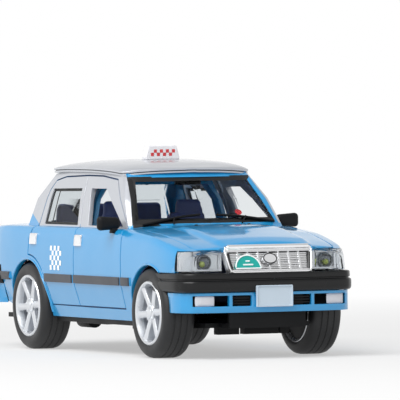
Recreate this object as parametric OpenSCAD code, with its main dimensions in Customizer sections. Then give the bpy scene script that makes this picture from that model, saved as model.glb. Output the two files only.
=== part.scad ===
// Toy taxi saloon, a small cast car with opening doors, bonnet and boot lid and a pull-back motor.
// Millimetres. Front of the car +X, its left side +Y, up +Z, origin under the middle on the ground.

/* [Overall] */
// Distance from the rear axle to the front axle
wheelbase = 88; // [84:1:92]
// Front axle to the face of the front number plate
front_overhang = 26.5; // [25:0.5:29]
// Rear axle to the face of the rear bumper
rear_overhang = 32.5; // [30:0.5:36]
// Width of the body across its waist
body_w = 54.4; // [53:0.2:58]
// Thickness of the cast body and of its doors, bonnet and boot lid
wall = 1.3; // [1.2:0.1:1.4]
// Shut line round the opening panels
panel_gap = 0.4; // [0.35:0.05:0.5]

/* [Heights] */
// Underside of the sills
sill_z = 10; // [9.75:0.25:10.5]
// Belt line, where the side glass begins
belt_z = 36; // [35.5:0.5:38]
// Edge of the roof
eave_z = 52; // [51:0.5:54]
// Height of the roof sign
sign_h = 4; // [3:0.5:6]

/* [Wheels] */
// Outside diameter of the tyres
tyre_d = 25.4; // [24.6:0.2:25.8]
// Width of the tyres
tyre_w = 9.6; // [8.6:0.2:9.8]
// Diameter of the rims
rim_d = 18; // [16:0.5:19]
// How far the tyres stand out beyond the body
tyre_out = 0.25; // [0.1:0.05:0.4]
// Diameter of the steel axles
axle_d = 2.4; // [2:0.2:2.8]

/* [Trim] */
// Depth of the front bumper band from top to bottom
bumper_h = 5.4; // [4.6:0.2:6]
// How far the door handles and rub strips stand out
trim_proud = 0.6; // [0.4:0.1:0.8]
// How far the door mirrors stand out beyond the widest part of the body
mirror_out = 4.2; // [3:0.2:6]

/* [Hidden] */
$fn = 48;
length = rear_overhang + wheelbase + front_overhang;
xr = rear_overhang - length / 2;
xf = xr + wheelbase;
half_w = body_w / 2;
axle_z = tyre_d / 2;
wheel_y = half_w + tyre_out - tyre_w / 2;
// Free space between parts that sit together, and between parts that turn in one another
clear = 0.1;
run_fit = 0.05;
snug = 0.02;
overrun = 5;

// Shares along the car: minus one to zero behind the rear axle, zero to one between the axles, one to
// two ahead
function along(t) = t < 0 ? xr + t * rear_overhang : t <= 1
    ? xr + t * wheelbase : xf + (t - 1) * front_overhang;
// Shares in height: zero at the sill, one at the belt, two at the edge of the roof
function up(s) = s <= 1 ? sill_z + s * (belt_z - sill_z) : belt_z + (s - 1) * (eave_z - belt_z);
function wide(s) = s * half_w;
function both(half) = concat(half, [for (i = [len(half) - 1:-1:0]) [half[i][0], -half[i][1]]]);
function across(half) = concat(half, [for (i = [len(half) - 1:-1:0]) [-half[i][0], half[i][1]]]);

module sides() {
    children();
    mirror([0, 1, 0]) children();
}
module hull_points(points) hull() polyhedron(points, [[for (i = [0:len(points) - 1]) i]]);
// A side outline in x and z, drawn through the car from the middle to the left
module side_prism(points, grow = 0) {
    rotate([90, 0, 0]) mirror([0, 0, 1]) linear_extrude(body_w) offset(delta = grow) polygon(points);
}
// A plan outline in x and y, drawn from one height to another
module plan_prism(points, z0, z1, grow = 0) {
    translate([0, 0, z0]) linear_extrude(z1 - z0) offset(delta = grow) polygon(points);
}
// A front outline in y and z, drawn from one place along the car to another
module front_prism(points, x0, x1, grow = 0) {
    translate([x0, 0, 0]) rotate([90, 0, 90]) linear_extrude(x1 - x0) offset(delta = grow) polygon(points);
}
module block(x0, x1, y0, y1, z0, z1) translate([x0, y0, z0]) cube([x1 - x0, y1 - y0, z1 - z0]);
module rod_y(x, y0, y1, z, r) translate([x, y0, z]) rotate([-90, 0, 0]) cylinder(r = r, h = y1 - y0);
module rod_z(x, y, z0, z1, r) translate([x, y, z0]) cylinder(r = r, h = z1 - z0);

// Body sections: place, half width, bottom, shoulder and crown
station_shares = [
    [-0.950, 0.880, 0.15, 0.930, 0.970], [-0.920, 0.925, 0.15, 0.972, 1.005], [-0.830, 0.965, 0.15,
    0.990, 1.028],
    [-0.600, 0.990, 0.12, 0.998, 1.040], [-0.300, 1.000, 0.00, 1.000, 1.045], [0.000, 1.000, 0.00, 1.000,
    1.045],
    [0.400, 1.000, 0.00, 1.000, 1.045], [0.800, 1.000, 0.00, 0.996, 1.045], [0.900, 1.000, 0.00, 0.968,
    1.020],
    [1.000, 1.000, 0.05, 0.935, 0.992], [1.300, 0.992, 0.15, 0.880, 0.945], [1.550, 0.970, 0.15, 0.830,
    0.905],
    [1.720, 0.925, 0.15, 0.790, 0.875], [1.800, 0.885, 0.15, 0.772, 0.855], [1.850, 0.845, 0.15, 0.745,
    0.825]];
// Height and inward lean of the side of a section, and the places of its crown
side_shares = [[0, 0.095], [0.127, 0.062], [0.385, 0.0055], [0.5, 0], [0.7, 0.002], [0.88, 0.0165],
    [0.97, 0.037],
    [1, 0.07]];
crown_shares = [0.8, 0.5, 0.2, 0];
shoulder_share = side_shares[len(side_shares) - 1][1];
last = len(station_shares) - 1;
nose_x = along(station_shares[last][0]);
tail_x = along(station_shares[0][0]);

function crown_rise(st) = st[4] > 1 ? (st[4] - 1) * (belt_z - sill_z) + up(1) : up(st[4]);
function section(st, inset) =
    let (z0 = up(st[2]), z1 = up(st[3]), zs = z1 - inset, zc = crown_rise(st) - inset,
    ys = wide(st[1] - shoulder_share) - inset)
    across(concat([for (p = side_shares) [wide(st[1] - p[1]) - inset,
    z0 + p[0] * (z1 - z0 - inset) - (p[0] > 0 ? 0 : foot(inset))]],
        [for (k = crown_shares) [k * ys, zc - (zc - zs) * k * k]]));
function foot(inset) = inset > 0 ? overrun : 0;
function station_x(i, inset) = min(max(along(station_shares[i][0]), tail_x + inset), nose_x - inset);
function slice(i, inset) = [for (p = section(station_shares[i], inset)) [station_x(i, inset), p[0], p[1]]];
// The whole lower body, drawn in from its surface by an inset
module core(inset = 0) {
    for (i = [0:last - 1]) {
        if (station_x(i + 1, inset) - station_x(i, inset) > clear) {
            hull_points(concat(slice(i, inset), slice(i + 1, inset)));
        }
    }
}

// Cabin corners at the belt and at the eave: place, half width and height
cabin_base_shares = [[0.835, 0], [0.825, 0.45], [0.797, 0.86], [0.785, 0.905], [0.5, 0.93], [0.1, 0.925],
    [-0.21, 0.905], [-0.275, 0.86], [-0.33, 0.4], [-0.345, 0]];
cabin_top_shares = [[0.640, 0, 2.02], [0.632, 0.35, 2.01], [0.616, 0.680, 1.975], [0.604, 0.715, 1.96],
    [0.38, 0.735, 2.05], [0.22, 0.735, 2.045], [0.06, 0.725, 1.95], [0.045, 0.69, 1.945], [0.0, 0.35, 1.98],
    [-0.01, 0, 1.985]];
cabin_foot_share = 0.92;
cabin_mid_share = 1.5;
cabin_bulge_share = 0.012;
// Cabin corners beyond these places are its front and its back
cabin_ends_shares = [0.1, 0.55];
function cabin_point(t, y, z, inset,
    top) = [along(t) + inset * (t > cabin_ends_shares[1] ? -1 : t < cabin_ends_shares[0] ? 1 : 0),
    y > 0 ? wide(y) - inset : 0, top ? z - inset : z];
function cabin_half(inset) = concat(
    [for (p = cabin_base_shares) cabin_point(p[0], p[1], up(cabin_foot_share), inset, false)],
    [for (i = [0:len(cabin_base_shares) - 1]) let (b = cabin_base_shares[i], a = cabin_top_shares[i])
        cabin_point((a[0] + b[0]) / 2, (a[1] + b[1]) / 2 + cabin_bulge_share, up(cabin_mid_share), inset,
        false)],
    [for (p = cabin_top_shares) cabin_point(p[0], p[1], up(p[2]), inset, true)]);
module cabin(inset = 0) {
    half = cabin_half(inset);
    hull_points(concat(half, [for (p = half) [p[0], -p[1], p[2]]]));
}
module skin(depth = wall) {
    difference() {
        union() {
            core();
            cabin();
        }
        core(depth);
        cabin(depth);
    }
}

// Outlines of the doors and their windows seen from the side
front_door_shares = [[0.779, 0.13], [0.779, 0.6], [0.776, 0.93], [0.762, 1.02], [0.586, 1.865], [0.47,
    1.925],
    [0.352, 1.93], [0.388, 1.0], [0.390, 0.7], [0.391, 0.35], [0.405, 0.13]];
rear_door_shares = [[0.405, 0.13], [0.391, 0.35], [0.390, 0.7], [0.388, 1.0], [0.352, 1.93], [0.17, 1.9],
    [0.09, 1.83], [0.0625, 1.65], [0.034, 1.06], [0.023, 0.98], [0.004, 0.85], [0.004, 0.13]];
front_window_shares = [[0.722, 1.04], [0.53, 1.70], [0.415, 1.70], [0.45, 1.04]];
rear_window_shares = [[0.362, 1.04], [0.333, 1.70], [0.09, 1.68], [0.078, 1.04]];
function outline(shares) = [for (p = shares) [along(p[0]), up(p[1])]];
arch_gap = 0.8;
arch_r = axle_z + arch_gap;
arch_lip = 1.5;

// Hinge of each door: behind its front edge and in from the widest skin
hinge_back = 3.6;
hinge_in = 1.6;
hinge_y = half_w - hinge_in;
front_hinge_x = along(front_door_shares[0][0]) - hinge_back;
rear_hinge_x = along(rear_door_shares[2][0]) - hinge_back;
hinge_pin_r = 0.4;
knuckle_r = 0.8;
knuckle_h = 1.6;
lug_h = 1.4;
hinge_room = 1;
hinge_z_shares = [0.42, 0.70];
hinge_z = [for (s = hinge_z_shares) up(s)];
hinge_low = hinge_z[0] - lug_h - hinge_room;
hinge_top = hinge_z[1] + knuckle_h + hinge_room;

// Outlines of the bonnet and boot lid seen from above
bonnet_shares = [[0.86, 0], [0.86, 0.79], [0.866, 0.83], [1.66, 0.795], [1.74, 0.77], [1.95, 0.70],
    [1.95, 0]];
bonnet_low_share = 0.782;
boot_shares = [[-0.415, 0], [-0.415, 0.78], [-0.43, 0.795], [-1, 0.795], [-1, 0]];
boot_low_share = 0.935;
boot_face_shares = [0.55, 0.585, -0.84];
function plan(shares) = both([for (p = shares) [along(p[0]), wide(p[1])]]);
module bonnet_zone(grow) plan_prism(plan(bonnet_shares), up(bonnet_low_share) - grow, up(1) + overrun,
    grow);
module boot_zone(grow) {
    plan_prism(plan(boot_shares), up(boot_low_share) - grow, up(1) + overrun, grow);
    y = wide(boot_face_shares[0]) + grow;
    block(tail_x - overrun, along(boot_face_shares[2]), -y, y, up(boot_face_shares[1]) - grow,
        up(1) + overrun);
}
// Front and back glass seen from the front
screen_shares = [[0.80, 1.09], [0.64, 1.89]];
screen_x_shares = [0.5, 0.845];
back_glass_shares = [[0.76, 1.09], [0.60, 1.88]];
back_glass_x_shares = [-0.4, 0.2];
function panes(shares) = across([for (p = shares) [wide(p[0]), up(p[1])]]);
module screen_zone(grow) front_prism(panes(screen_shares), along(screen_x_shares[0]),
    along(screen_x_shares[1]), grow);
module back_zone(grow) {
    front_prism(panes(back_glass_shares), along(back_glass_x_shares[0]), along(back_glass_x_shares[1]),
        grow);
}
module front_door_zone(grow) side_prism(outline(front_door_shares), grow);
module rear_door_zone(grow) {
    difference() {
        side_prism(outline(rear_door_shares), grow);
        rod_y(xr, -overrun, body_w, axle_z, arch_r + arch_lip - grow);
    }
}

// Bumpers: plan outline from the wheel to the middle, heights, thickness
plate_t = 0.9;
bumper_z = 18.8;
bumper_top = bumper_z + bumper_h;
bumper_t = 2.2;
valance_in = 0.7;
valance_z = 13.1;
bumper_front_shares = [[0.135, 1.005], [0.62, 1.0], [0.775, 0.975], [0.87, 0.93], [0.935, 0.84], [0.972,
    0.6],
    [0.993, 0.3], [1, 0]];
bumper_rear_shares = [[0.66, 1.005], [0.84, 0.985], [0.91, 0.955], [0.955, 0.88], [0.98, 0.6], [0.995,
    0.3], [1, 0]];
function front_edge(inset) = [for (p = bumper_front_shares)
    [xf + p[0] * (front_overhang - plate_t) - (p[0] > bumper_front_shares[1][0] ? inset : 0),
    max(wide(p[1]) - inset, 0)]];
function rear_edge(inset) = [for (p = bumper_rear_shares)
    [xr - p[0] * rear_overhang + (p[0] > bumper_rear_shares[1][0] ? inset : 0), max(wide(p[1]) - inset,
    0)]];
module band(edge, back, inner, back_inner, z0, z1) {
    difference() {
        plan_prism(both(concat([[back, edge[0][1]]], edge)), z0, z1);
        plan_prism(both(concat([[back_inner, inner[0][1]]], inner)), z0 - overrun, z1 + overrun);
    }
}
module wheel_holes(r) {
    rod_y(xf, -body_w, body_w, axle_z, r);
    rod_y(xr, -body_w, body_w, axle_z, r);
}

// Lamps and grille
lamp_z0_share = 0.56;
lamp_z1_share = 0.778;
lamp_x_share = 1.6;
lamp_in_share = 0.535;
lens_t = 1;
bowl_depth = 5;
bowl_t = 0.8;
led_r = 1.5;
tail_lamp_x_share = -0.86;
tail_lamp_y_share = 0.55;
tail_lamp_z_shares = [0.585, 0.9];
tail_lamp_t = 2;

// Pillars inside the door openings
post_in = 4.6;
post_y = half_w - post_in;
post_t = 1.4;
post_fore = 0.2;
post_aft = 1.8;
pillar_shares = [[0.345, 1.0], [0.338, 2.0], [0.385, 2.0], [0.405, 1.0]];
ring_shares = [[0.02, 1.945], [0.08, 2.3], [0.6, 2.3], [0.66, 1.945]];
roof_hole_shares = [[0.07, 0.58], [0.58, 0.58]];
module roof_hole() plan_prism(both([for (p = roof_hole_shares) [along(p[0]), wide(p[1])]]),
    up(ring_low_share), eave_z + overrun);
ring_low_share = 1.7;
// The rail round the roof hole, over the doors
module ring_zone() {
    difference() {
        sides() side_prism(outline(ring_shares));
        roof_hole();
    }
}
inner_gap = 2;
inner_t = 1.3;
foot_post_share = 0.785;
foot_x_shares = [0.35, 0.40];
hoop_x_shares = [0.345, 0.38];
hoop_y_shares = [0.59, 0.64];
hoop_low_share = 1.8;

// Slots that the bonnet and boot hinges work through
arm_y_share = 0.58;
arm_y = wide(arm_y_share);
arm_w = 1.6;
arm_room = 0.5;
bonnet_axis_share = 0.825;
boot_axis_share = -0.368;
bonnet_axis = along(bonnet_axis_share);
boot_axis = along(boot_axis_share);
bonnet_axis_drop = 1.2;
boot_axis_drop = 0.5;
bonnet_axis_z = belt_z - bonnet_axis_drop;
boot_axis_z = belt_z - boot_axis_drop;
slot_fore = 5.2;
slot_aft = 1.6;
module hinge_slots() {
    sides() {
        block(bonnet_axis - slot_aft, bonnet_axis + slot_fore, arm_y - arm_w - arm_room,
            arm_y + arm_w + arm_room,
            bonnet_axis_z - overrun, belt_z + overrun);
        block(boot_axis - slot_fore, boot_axis + slot_aft, arm_y - arm_w - arm_room,
            arm_y + arm_w + arm_room,
            boot_axis_z - overrun, belt_z + overrun);
    }
}

front_strip_shares = [0.787, 0.85];
tail_strip_shares = [-0.66, -0.42];
strip_z_shares = [0.385, 0.477];
// The raised strip along the side, between two places
module strip(t0, t1) {
    intersection() {
        difference() {
            translate([0, trim_proud, 0]) core();
            core(wall / 2);
        }
        block(along(t0), along(t1), 0, body_w, up(strip_z_shares[0]), up(strip_z_shares[1]));
    }
}

module body_shell() {
    color("#3f9fdc") {
        difference() {
            union() {
                skin();
                sides() strip(front_strip_shares[0], front_strip_shares[1]);
                sides() strip(tail_strip_shares[0], tail_strip_shares[1]);
            }
            sides() front_door_zone(panel_gap / 2);
            sides() rear_door_zone(panel_gap / 2);
            bonnet_zone(panel_gap / 2);
            boot_zone(panel_gap / 2);
            screen_zone(clear);
            back_zone(clear);
            wheel_holes(arch_r);
            roof_hole();
            block(xf, nose_x + overrun, -body_w, body_w, -overrun, bumper_top + clear);
            block(tail_x - overrun, xr - bumper_rear_shares[0][0] * rear_overhang + clear, -body_w,
                body_w, -overrun,
                bumper_top + clear);
            block(along(lamp_x_share), nose_x + overrun, -body_w, body_w, -overrun,
                up(lamp_z1_share) + clear);
            sides() block(tail_x - overrun, along(tail_lamp_x_share), wide(tail_lamp_y_share), body_w,
                up(tail_lamp_z_shares[0]), up(tail_lamp_z_shares[1]));
            block(tail_x - overrun, along(tail_lamp_x_share), -body_w, body_w, 0,
                up(tail_lamp_z_shares[0]));
            hinge_slots();
        }
        intersection() {
            difference() {
                cabin(wall / 2);
                cabin(wall + inner_gap + inner_t);
            }
            ring_zone();
        }
        intersection() {
            difference() {
                cabin(wall + inner_gap);
                cabin(wall + inner_gap + inner_t);
            }
            sides() side_prism(outline(pillar_shares));
        }
        sides() {
            block(along(foot_x_shares[0]), along(foot_x_shares[1]), wide(foot_post_share) - inner_t,
                wide(foot_post_share), floor_z + floor_t + snug, belt_z + inner_t);
            block(along(hoop_x_shares[0]), along(hoop_x_shares[1]), wide(hoop_y_shares[0]),
                wide(hoop_y_shares[1]), up(hoop_low_share), up(ring_shares[0][1]) + inner_t / 2);
        }
    }
}

// Roof panel sections: place, half width, edge height, crown over the edge
roof_shares = [[0.030, 0.700, 1.950, 0.135], [0.040, 0.752, 1.955, 0.15], [0.120, 0.768, 2.005, 0.165],
    [0.220, 0.772, 2.035, 0.17], [0.340, 0.772, 2.045, 0.165], [0.460, 0.766, 2.030, 0.17], [0.560,
    0.750, 1.985, 0.18],
    [0.615, 0.735, 1.955, 0.17], [0.650, 0.690, 1.940, 0.14], [0.658, 0.55, 1.945, 0.10]];
roof_edge_h = 1.2;
roof_round_shares = [[0.93, 0.35], [0.75, 0.7], [0.4, 0.94], [0, 1]];
function roof_section(r) = let (y = wide(r[1]), z = up(r[2]), c = r[3] * (eave_z - belt_z))
    across(concat([[y, z], [y, z + roof_edge_h / 2]],
        [for (p = roof_round_shares) [y * p[0], z + roof_edge_h / 2 + p[1] * (c - roof_edge_h / 2)]]));
function roof_slice(r) = [for (p = roof_section(r)) [along(r[0]), p[0], p[1]]];
module roof_bay(i) hull_points(concat(roof_slice(roof_shares[i]), roof_slice(roof_shares[i + 1])));
module roof_panel() {
    color("#d8dade") difference() {
        for (i = [0:len(roof_shares) - 2]) roof_bay(i);
        cabin(-run_fit);
    }
}
roof_row = 4;
roof_z = up(roof_shares[roof_row][2]) + roof_shares[roof_row][3] * (eave_z - belt_z);

sign_share = 0.41;
sign_l = 3;
sign_base_w = 10.6;
sign_top_w = 8.8;
sign_foot = 0.8;
sign_sink = 0.15;
module roof_sign() {
    x = along(sign_share);
    z = roof_z - sign_sink;
    half = [[sign_base_w / 2, z], [sign_base_w / 2, z + sign_foot], [sign_top_w / 2, z + sign_h]];
    color("#f2f2f0") difference() {
        front_prism(across(half), x - sign_l / 2, x + sign_l / 2);
        translate([0, 0, snug]) roof_bay(roof_row);
    }
}

glass_in = 0.25;
glass_t = 0.8;
module pane() {
    difference() {
        cabin(glass_in);
        cabin(glass_in + glass_t);
    }
}
module windscreen() {
    color("#cfe3ec", 0.35) intersection() {
        pane();
        screen_zone(0);
    }
}
module rear_window() {
    color("#cfe3ec", 0.35) intersection() {
        pane();
        back_zone(0);
    }
}

// Wipers lying on the foot of the windscreen: pivot and tip in y and in height
wiper_shares = [[-0.62, 1.16, -0.10, 1.28], [-0.02, 1.16, 0.48, 1.30]];
wiper_t = 0.7;
wiper_out = 0.65;
module wipers() {
    color("#141416") intersection() {
        difference() {
            cabin(-wiper_out);
            cabin(glass_in - snug);
        }
        for (w = wiper_shares) {
            a = atan2(up(w[3]) - up(w[1]), wide(w[2]) - wide(w[0]));
            translate([along(screen_x_shares[0]), wide(w[0]), up(w[1])]) rotate([a, 0, 0])
                cube([wheelbase, norm([wide(w[2]) - wide(w[0]), up(w[3]) - up(w[1])]), wiper_t]);
        }
    }
}

bumper_groove_share = 0.62;
groove_h = 0.35;
groove_d = 0.5;
module front_bumper() {
    color("#17181a") difference() {
        band(front_edge(0), xf, front_edge(bumper_t), xf - overrun, bumper_z, bumper_top);
        band(front_edge(-overrun), xf - overrun, front_edge(groove_d), xf - 2 * overrun,
            bumper_z + bumper_groove_share * bumper_h,
            bumper_z + bumper_groove_share * bumper_h + groove_h);
        rod_y(xf, -body_w, body_w, axle_z, arch_r + clear);
    }
}

// Openings in the front valance seen from the front: fog lamps and lower grilles
fog_shares = [0.48, 0.86];
low_grille_shares = [0.235, 0.445];
opening_z = [14.9, 17.9];
module valance_holes(shares, grow) {
    sides() block(xf, xf + front_overhang, wide(shares[0]) - grow, wide(shares[1]) + grow,
        opening_z[0] - grow,
        opening_z[1] + grow);
}
module front_valance() {
    color("#3f9fdc") difference() {
        band(front_edge(valance_in), xf, front_edge(valance_in + wall), xf - overrun, valance_z,
            bumper_z - clear);
        rod_y(xf, -body_w, body_w, axle_z, arch_r + clear);
        valance_holes(fog_shares, 0);
        valance_holes(low_grille_shares, 0);
    }
}
module rear_bumper() {
    x = xr - bumper_rear_shares[0][0] * rear_overhang;
    color("#17181a") difference() {
        band(rear_edge(0), x, rear_edge(bumper_t), x + overrun, bumper_z, bumper_top);
        band(rear_edge(-overrun), x + overrun, rear_edge(groove_d), x + 2 * overrun,
            bumper_z + bumper_groove_share * bumper_h,
            bumper_z + bumper_groove_share * bumper_h + groove_h);
    }
}
module rear_valance() {
    x = xr - bumper_rear_shares[0][0] * rear_overhang;
    color("#3f9fdc") band(rear_edge(valance_in), x, rear_edge(valance_in + wall), x + overrun, valance_z,
        bumper_z - clear);
}

slat_t = 0.45;
slat_count = 3;
insert_t = 1;
module lower_grille() {
    color("#101113") {
        intersection() {
            band(front_edge(valance_in + wall + clear), xf,
                front_edge(valance_in + wall + clear + insert_t), xf - overrun,
                opening_z[0] - insert_t, opening_z[1] + insert_t / 2);
            block(xf + bumper_front_shares[3][0] * front_overhang, xf + front_overhang,
                -wide(fog_shares[1]),
                wide(fog_shares[1]), 0, belt_z);
        }
        intersection() {
            band(front_edge(valance_in + wall / 2), xf,
                front_edge(valance_in + wall + clear + insert_t / 2), xf - overrun,
                opening_z[0], opening_z[1]);
            valance_holes(low_grille_shares, -clear);
            for (i = [1:slat_count]) {
                z = opening_z[0] + i * (opening_z[1] - opening_z[0]) / (slat_count + 1);
                block(xf, xf + front_overhang, -body_w, body_w, z - slat_t / 2, z + slat_t / 2);
            }
        }
    }
}
fog_r = 1.15;
fog_y_share = 0.72;
fog_h = 1.1;
module fog_lamps() {
    x = xf + bumper_front_shares[4][0] * (front_overhang - plate_t) - valance_in - wall - clear - snug;
    z = (opening_z[0] + opening_z[1]) / 2;
    color("#eef1f2") intersection() {
        sides() translate([x - fog_h, wide(fog_y_share), z]) rotate([0, 90, 0]) cylinder(r = fog_r,
            h = overrun);
        band(front_edge(valance_in / 2), xf, front_edge(valance_in + wall + clear - snug), xf - overrun,
            0, belt_z);
    }
}

// Grille: half widths and heights of its face, its lean, its bars
grille_top_share = 0.4926;
grille_low_share = 0.4596;
grille_top_w = wide(grille_top_share);
grille_low_w = wide(grille_low_share);
grille_h = 7.6;
grille_d = 2.6;
grille_rim = 0.8;
grille_lean = 20;
bar_count = 9;
bar_t = 0.35;
upright_count = 7;
upright_t = 0.45;
grille_low_z = bumper_top + clear;
grille_fore = 0.6;
grille_x = xf + front_overhang - plate_t - bumper_t + grille_fore;
badge_w = 3.8;
badge_h = 2.6;
badge_t = 0.7;
module grille_frame_at() translate([grille_x, 0, grille_low_z]) rotate([0, -grille_lean, 0]) children();
function grille_face(grow) = across([[grille_low_w + grow, 0], [grille_top_w + grow, grille_h + grow]]);
module grille() {
    face = grille_face(0);
    hole = across([[grille_low_w - grille_rim, grille_rim], [grille_top_w - grille_rim,
        grille_h - 2 * grille_rim]]);
    color("#c9ccd0") intersection() {
        grille_frame_at() {
            difference() {
                front_prism(face, -grille_d, 0);
                front_prism(hole, -grille_d + grille_rim / 2, overrun);
            }
            for (i = [1:bar_count]) {
                z = grille_rim + i * (grille_h - 3 * grille_rim) / (bar_count + 1);
                block(-grille_d + grille_rim / 2, -grille_rim / 2, -grille_low_w + grille_rim,
                    grille_low_w - grille_rim,
                    z - bar_t / 2, z + bar_t / 2);
            }
            for (i = [1:upright_count]) {
                y = -grille_low_w + i * 2 * grille_low_w / (upright_count + 1);
                block(-grille_d + grille_rim / 2, -grille_rim / 4, y - upright_t / 2, y + upright_t / 2,
                    grille_rim / 2,
                    grille_h - grille_rim);
            }
            translate([-grille_rim, 0, grille_h / 2]) rotate([0, 90, 0]) scale([badge_h / badge_w, 1, 1])
                cylinder(d = badge_w, h = badge_t + grille_rim);
        }
        block(xf, xf + front_overhang, -half_w, half_w, grille_low_z, belt_z);
    }
}
permit_r = 4;
permit_y = -6.9;
permit_z = 1;
permit_t = 0.5;
module permit_badge() {
    color("#2f8f86") grille_frame_at() translate([-grille_rim / 4 + snug, permit_y,
        permit_z]) intersection() {
        rotate([0, 90, 0]) cylinder(r = permit_r, h = permit_t);
        block(-overrun, overrun, -permit_r, permit_r, 0, permit_r);
    }
}

plate_w = 11;
plate_h = 6;
plate_z = 14.6;
rear_plate_z = 26.5;
rear_plate_w = 13;
rear_plate_h = 4.4;
plate_rim = 0.35;
plate_sink = 0.35;
module number_plate(w, h, t) {
    difference() {
        block(0, t, -w / 2, w / 2, 0, h);
        block(t - plate_sink, t + overrun, -w / 2 + plate_rim, w / 2 - plate_rim, plate_rim, h - plate_rim);
    }
}
module front_plate() {
    color("#e4eef4") translate([xf + front_overhang - plate_t, 0, plate_z]) number_plate(plate_w,
        plate_h, plate_t);
}
module rear_plate() {
    color("#f0d44a") translate([tail_x - snug, 0, rear_plate_z]) mirror([1, 0, 0])
        number_plate(rear_plate_w, rear_plate_h, plate_t);
}

module lamp_box(grow) {
    block(along(lamp_x_share) - grow, nose_x + overrun, wide(lamp_in_share) - grow, body_w,
        up(lamp_z0_share) - grow,
        up(lamp_z1_share) + grow);
}
module headlamp_lenses() {
    color("#e6eef2", 0.4) sides() intersection() {
        difference() {
            core();
            core(lens_t);
        }
        lamp_box(0);
    }
}
bowl_y_shares = [0.555, 0.79];
bowl_front_share = 1.745;
module headlamp_bowls() {
    x1 = along(bowl_front_share);
    y0 = wide(bowl_y_shares[0]);
    y1 = wide(bowl_y_shares[1]);
    z0 = up(lamp_z0_share) + clear;
    z1 = up(lamp_z1_share) - lens_t - 2 * clear;
    color("#d5d8dc") sides() difference() {
        block(x1 - bowl_depth, x1, y0, y1, z0, z1);
        block(x1 - bowl_depth + bowl_t, x1 + overrun, y0 + bowl_t, y1 - bowl_t, z0 + bowl_t, z1 - bowl_t);
        rod_x(x1 - bowl_depth - overrun, x1, (y0 + y1) / 2, (z0 + z1) / 2, led_r + run_fit);
    }
}
module rod_x(x0, x1, y, z, r) translate([x0, y, z]) rotate([0, 90, 0]) cylinder(r = r, h = x1 - x0);
led_l = 3.2;
led_flange = 0.4;
module lamp_leds() {
    x1 = along(bowl_front_share) - bowl_depth;
    y = wide((bowl_y_shares[0] + bowl_y_shares[1]) / 2);
    z = (up(lamp_z0_share) + up(lamp_z1_share) - lens_t - clear) / 2;
    color("#e8e27a") sides() {
        rod_x(x1 - led_flange, x1 + led_l - led_r, y, z, led_r);
        translate([x1 + led_l - led_r, y, z]) sphere(r = led_r);
        rod_x(x1 - 2 * led_flange, x1 - snug, y, z, led_r + led_flange);
    }
}
module tail_lamps() {
    color("#c43b36") sides() intersection() {
        difference() {
            core();
            core(tail_lamp_t);
        }
        block(tail_x - overrun, along(tail_lamp_x_share) - clear,
            wide(tail_lamp_y_share) + panel_gap / 2, body_w,
            up(tail_lamp_z_shares[0]) - bumper_rise, up(tail_lamp_z_shares[1]) - clear);
    }
}
bumper_rise = up(tail_lamp_z_shares[0]) - bumper_top - clear;

// Doors: skin with window hole, raised handle and strip
handle_shares = [[0.428, 0.86], [0.05, 0.86]];
handle_l = 4.6;
handle_h = 3.2;
door_strip_shares = [[0.399, 0.772], [0.153, 0.380]];
module door_zone(zone) {
    if (zone == 0) front_door_zone(-panel_gap / 2);
    else rear_door_zone(-panel_gap / 2);
}
module door_skin(zone) {
    color("#3f9fdc") difference() {
        union() {
            intersection() {
                skin();
                door_zone(zone);
            }
            intersection() {
                strip(door_strip_shares[zone][0], door_strip_shares[zone][1]);
                door_zone(zone);
            }
            intersection() {
                difference() {
                    translate([0, trim_proud, 0]) core();
                    core(wall / 2);
                }
                block(along(handle_shares[zone][0]) - handle_l / 2,
                    along(handle_shares[zone][0]) + handle_l / 2, 0, body_w,
                    up(handle_shares[zone][1]) - handle_h / 2, up(handle_shares[zone][1]) + handle_h / 2);
            }
        }
        side_prism(outline(zone == 0 ? front_window_shares : rear_window_shares));
        rod_z(zone == 0 ? front_hinge_x : rear_hinge_x, hinge_y, hinge_low, hinge_top,
            knuckle_r + 2 * clear);
    }
}
module front_left_door() door_skin(0);
module front_right_door() mirror([0, 1, 0]) door_skin(0);
module rear_left_door() door_skin(1);
module rear_right_door() mirror([0, 1, 0]) door_skin(1);

// Door cards: a plain panel inside each door with an armrest and the two hinge knuckles
card_t = 0.9;
card_in = 0.5;
card_y = half_w - wall - card_in - card_t;
card_z_shares = [0.40, 0.77];
card_pad_share = 0.56;
card_pad = 2;
front_card_share = 0.425;
rear_card_share = 0.19;
armrest_h = 1.6;
armrest_d = 1.6;
armrest_z_share = 0.66;
module door_card(zone) {
    x0 = along(zone == 0 ? front_card_share : rear_card_share);
    x1 = zone == 0 ? front_hinge_x - knuckle_r - 2 * clear : rear_hinge_x - knuckle_r - 2 * clear;
    hx = zone == 0 ? front_hinge_x : rear_hinge_x;
    color("#23262c") difference() {
        union() {
            block(x0, x1, card_y, card_y + card_t, up(card_z_shares[0]), up(card_z_shares[1]));
            block(x0 + armrest_h, (x0 + 2 * x1) / 3, card_y - armrest_d, card_y + card_t,
                up(armrest_z_share),
                up(armrest_z_share) + armrest_h);
            for (x = [x0 + card_pad, x1 - 2 * card_pad]) {
                block(x, x + card_pad, card_y, half_w - wall - clear, up(card_pad_share),
                    up(card_pad_share) + card_pad);
            }
            for (z = hinge_z) {
                rod_z(hx, hinge_y, z, z + knuckle_h, knuckle_r);
                block(hx - 2 * knuckle_r, hx, card_y, card_y + card_t, z, z + knuckle_h);
            }
        }
        rod_z(hx, hinge_y, 0, belt_z, hinge_pin_r + run_fit);
    }
}
module front_left_card() door_card(0);
module front_right_card() mirror([0, 1, 0]) door_card(0);
module rear_left_card() door_card(1);
module rear_right_card() mirror([0, 1, 0]) door_card(1);

module door_glass() {
    intersection() {
        pane();
        side_prism(outline(rear_window_shares), -run_fit);
    }
}
module rear_left_glass() color("#cfe3ec", 0.35) door_glass();
module rear_right_glass() color("#cfe3ec", 0.35) mirror([0, 1, 0]) door_glass();

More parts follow.
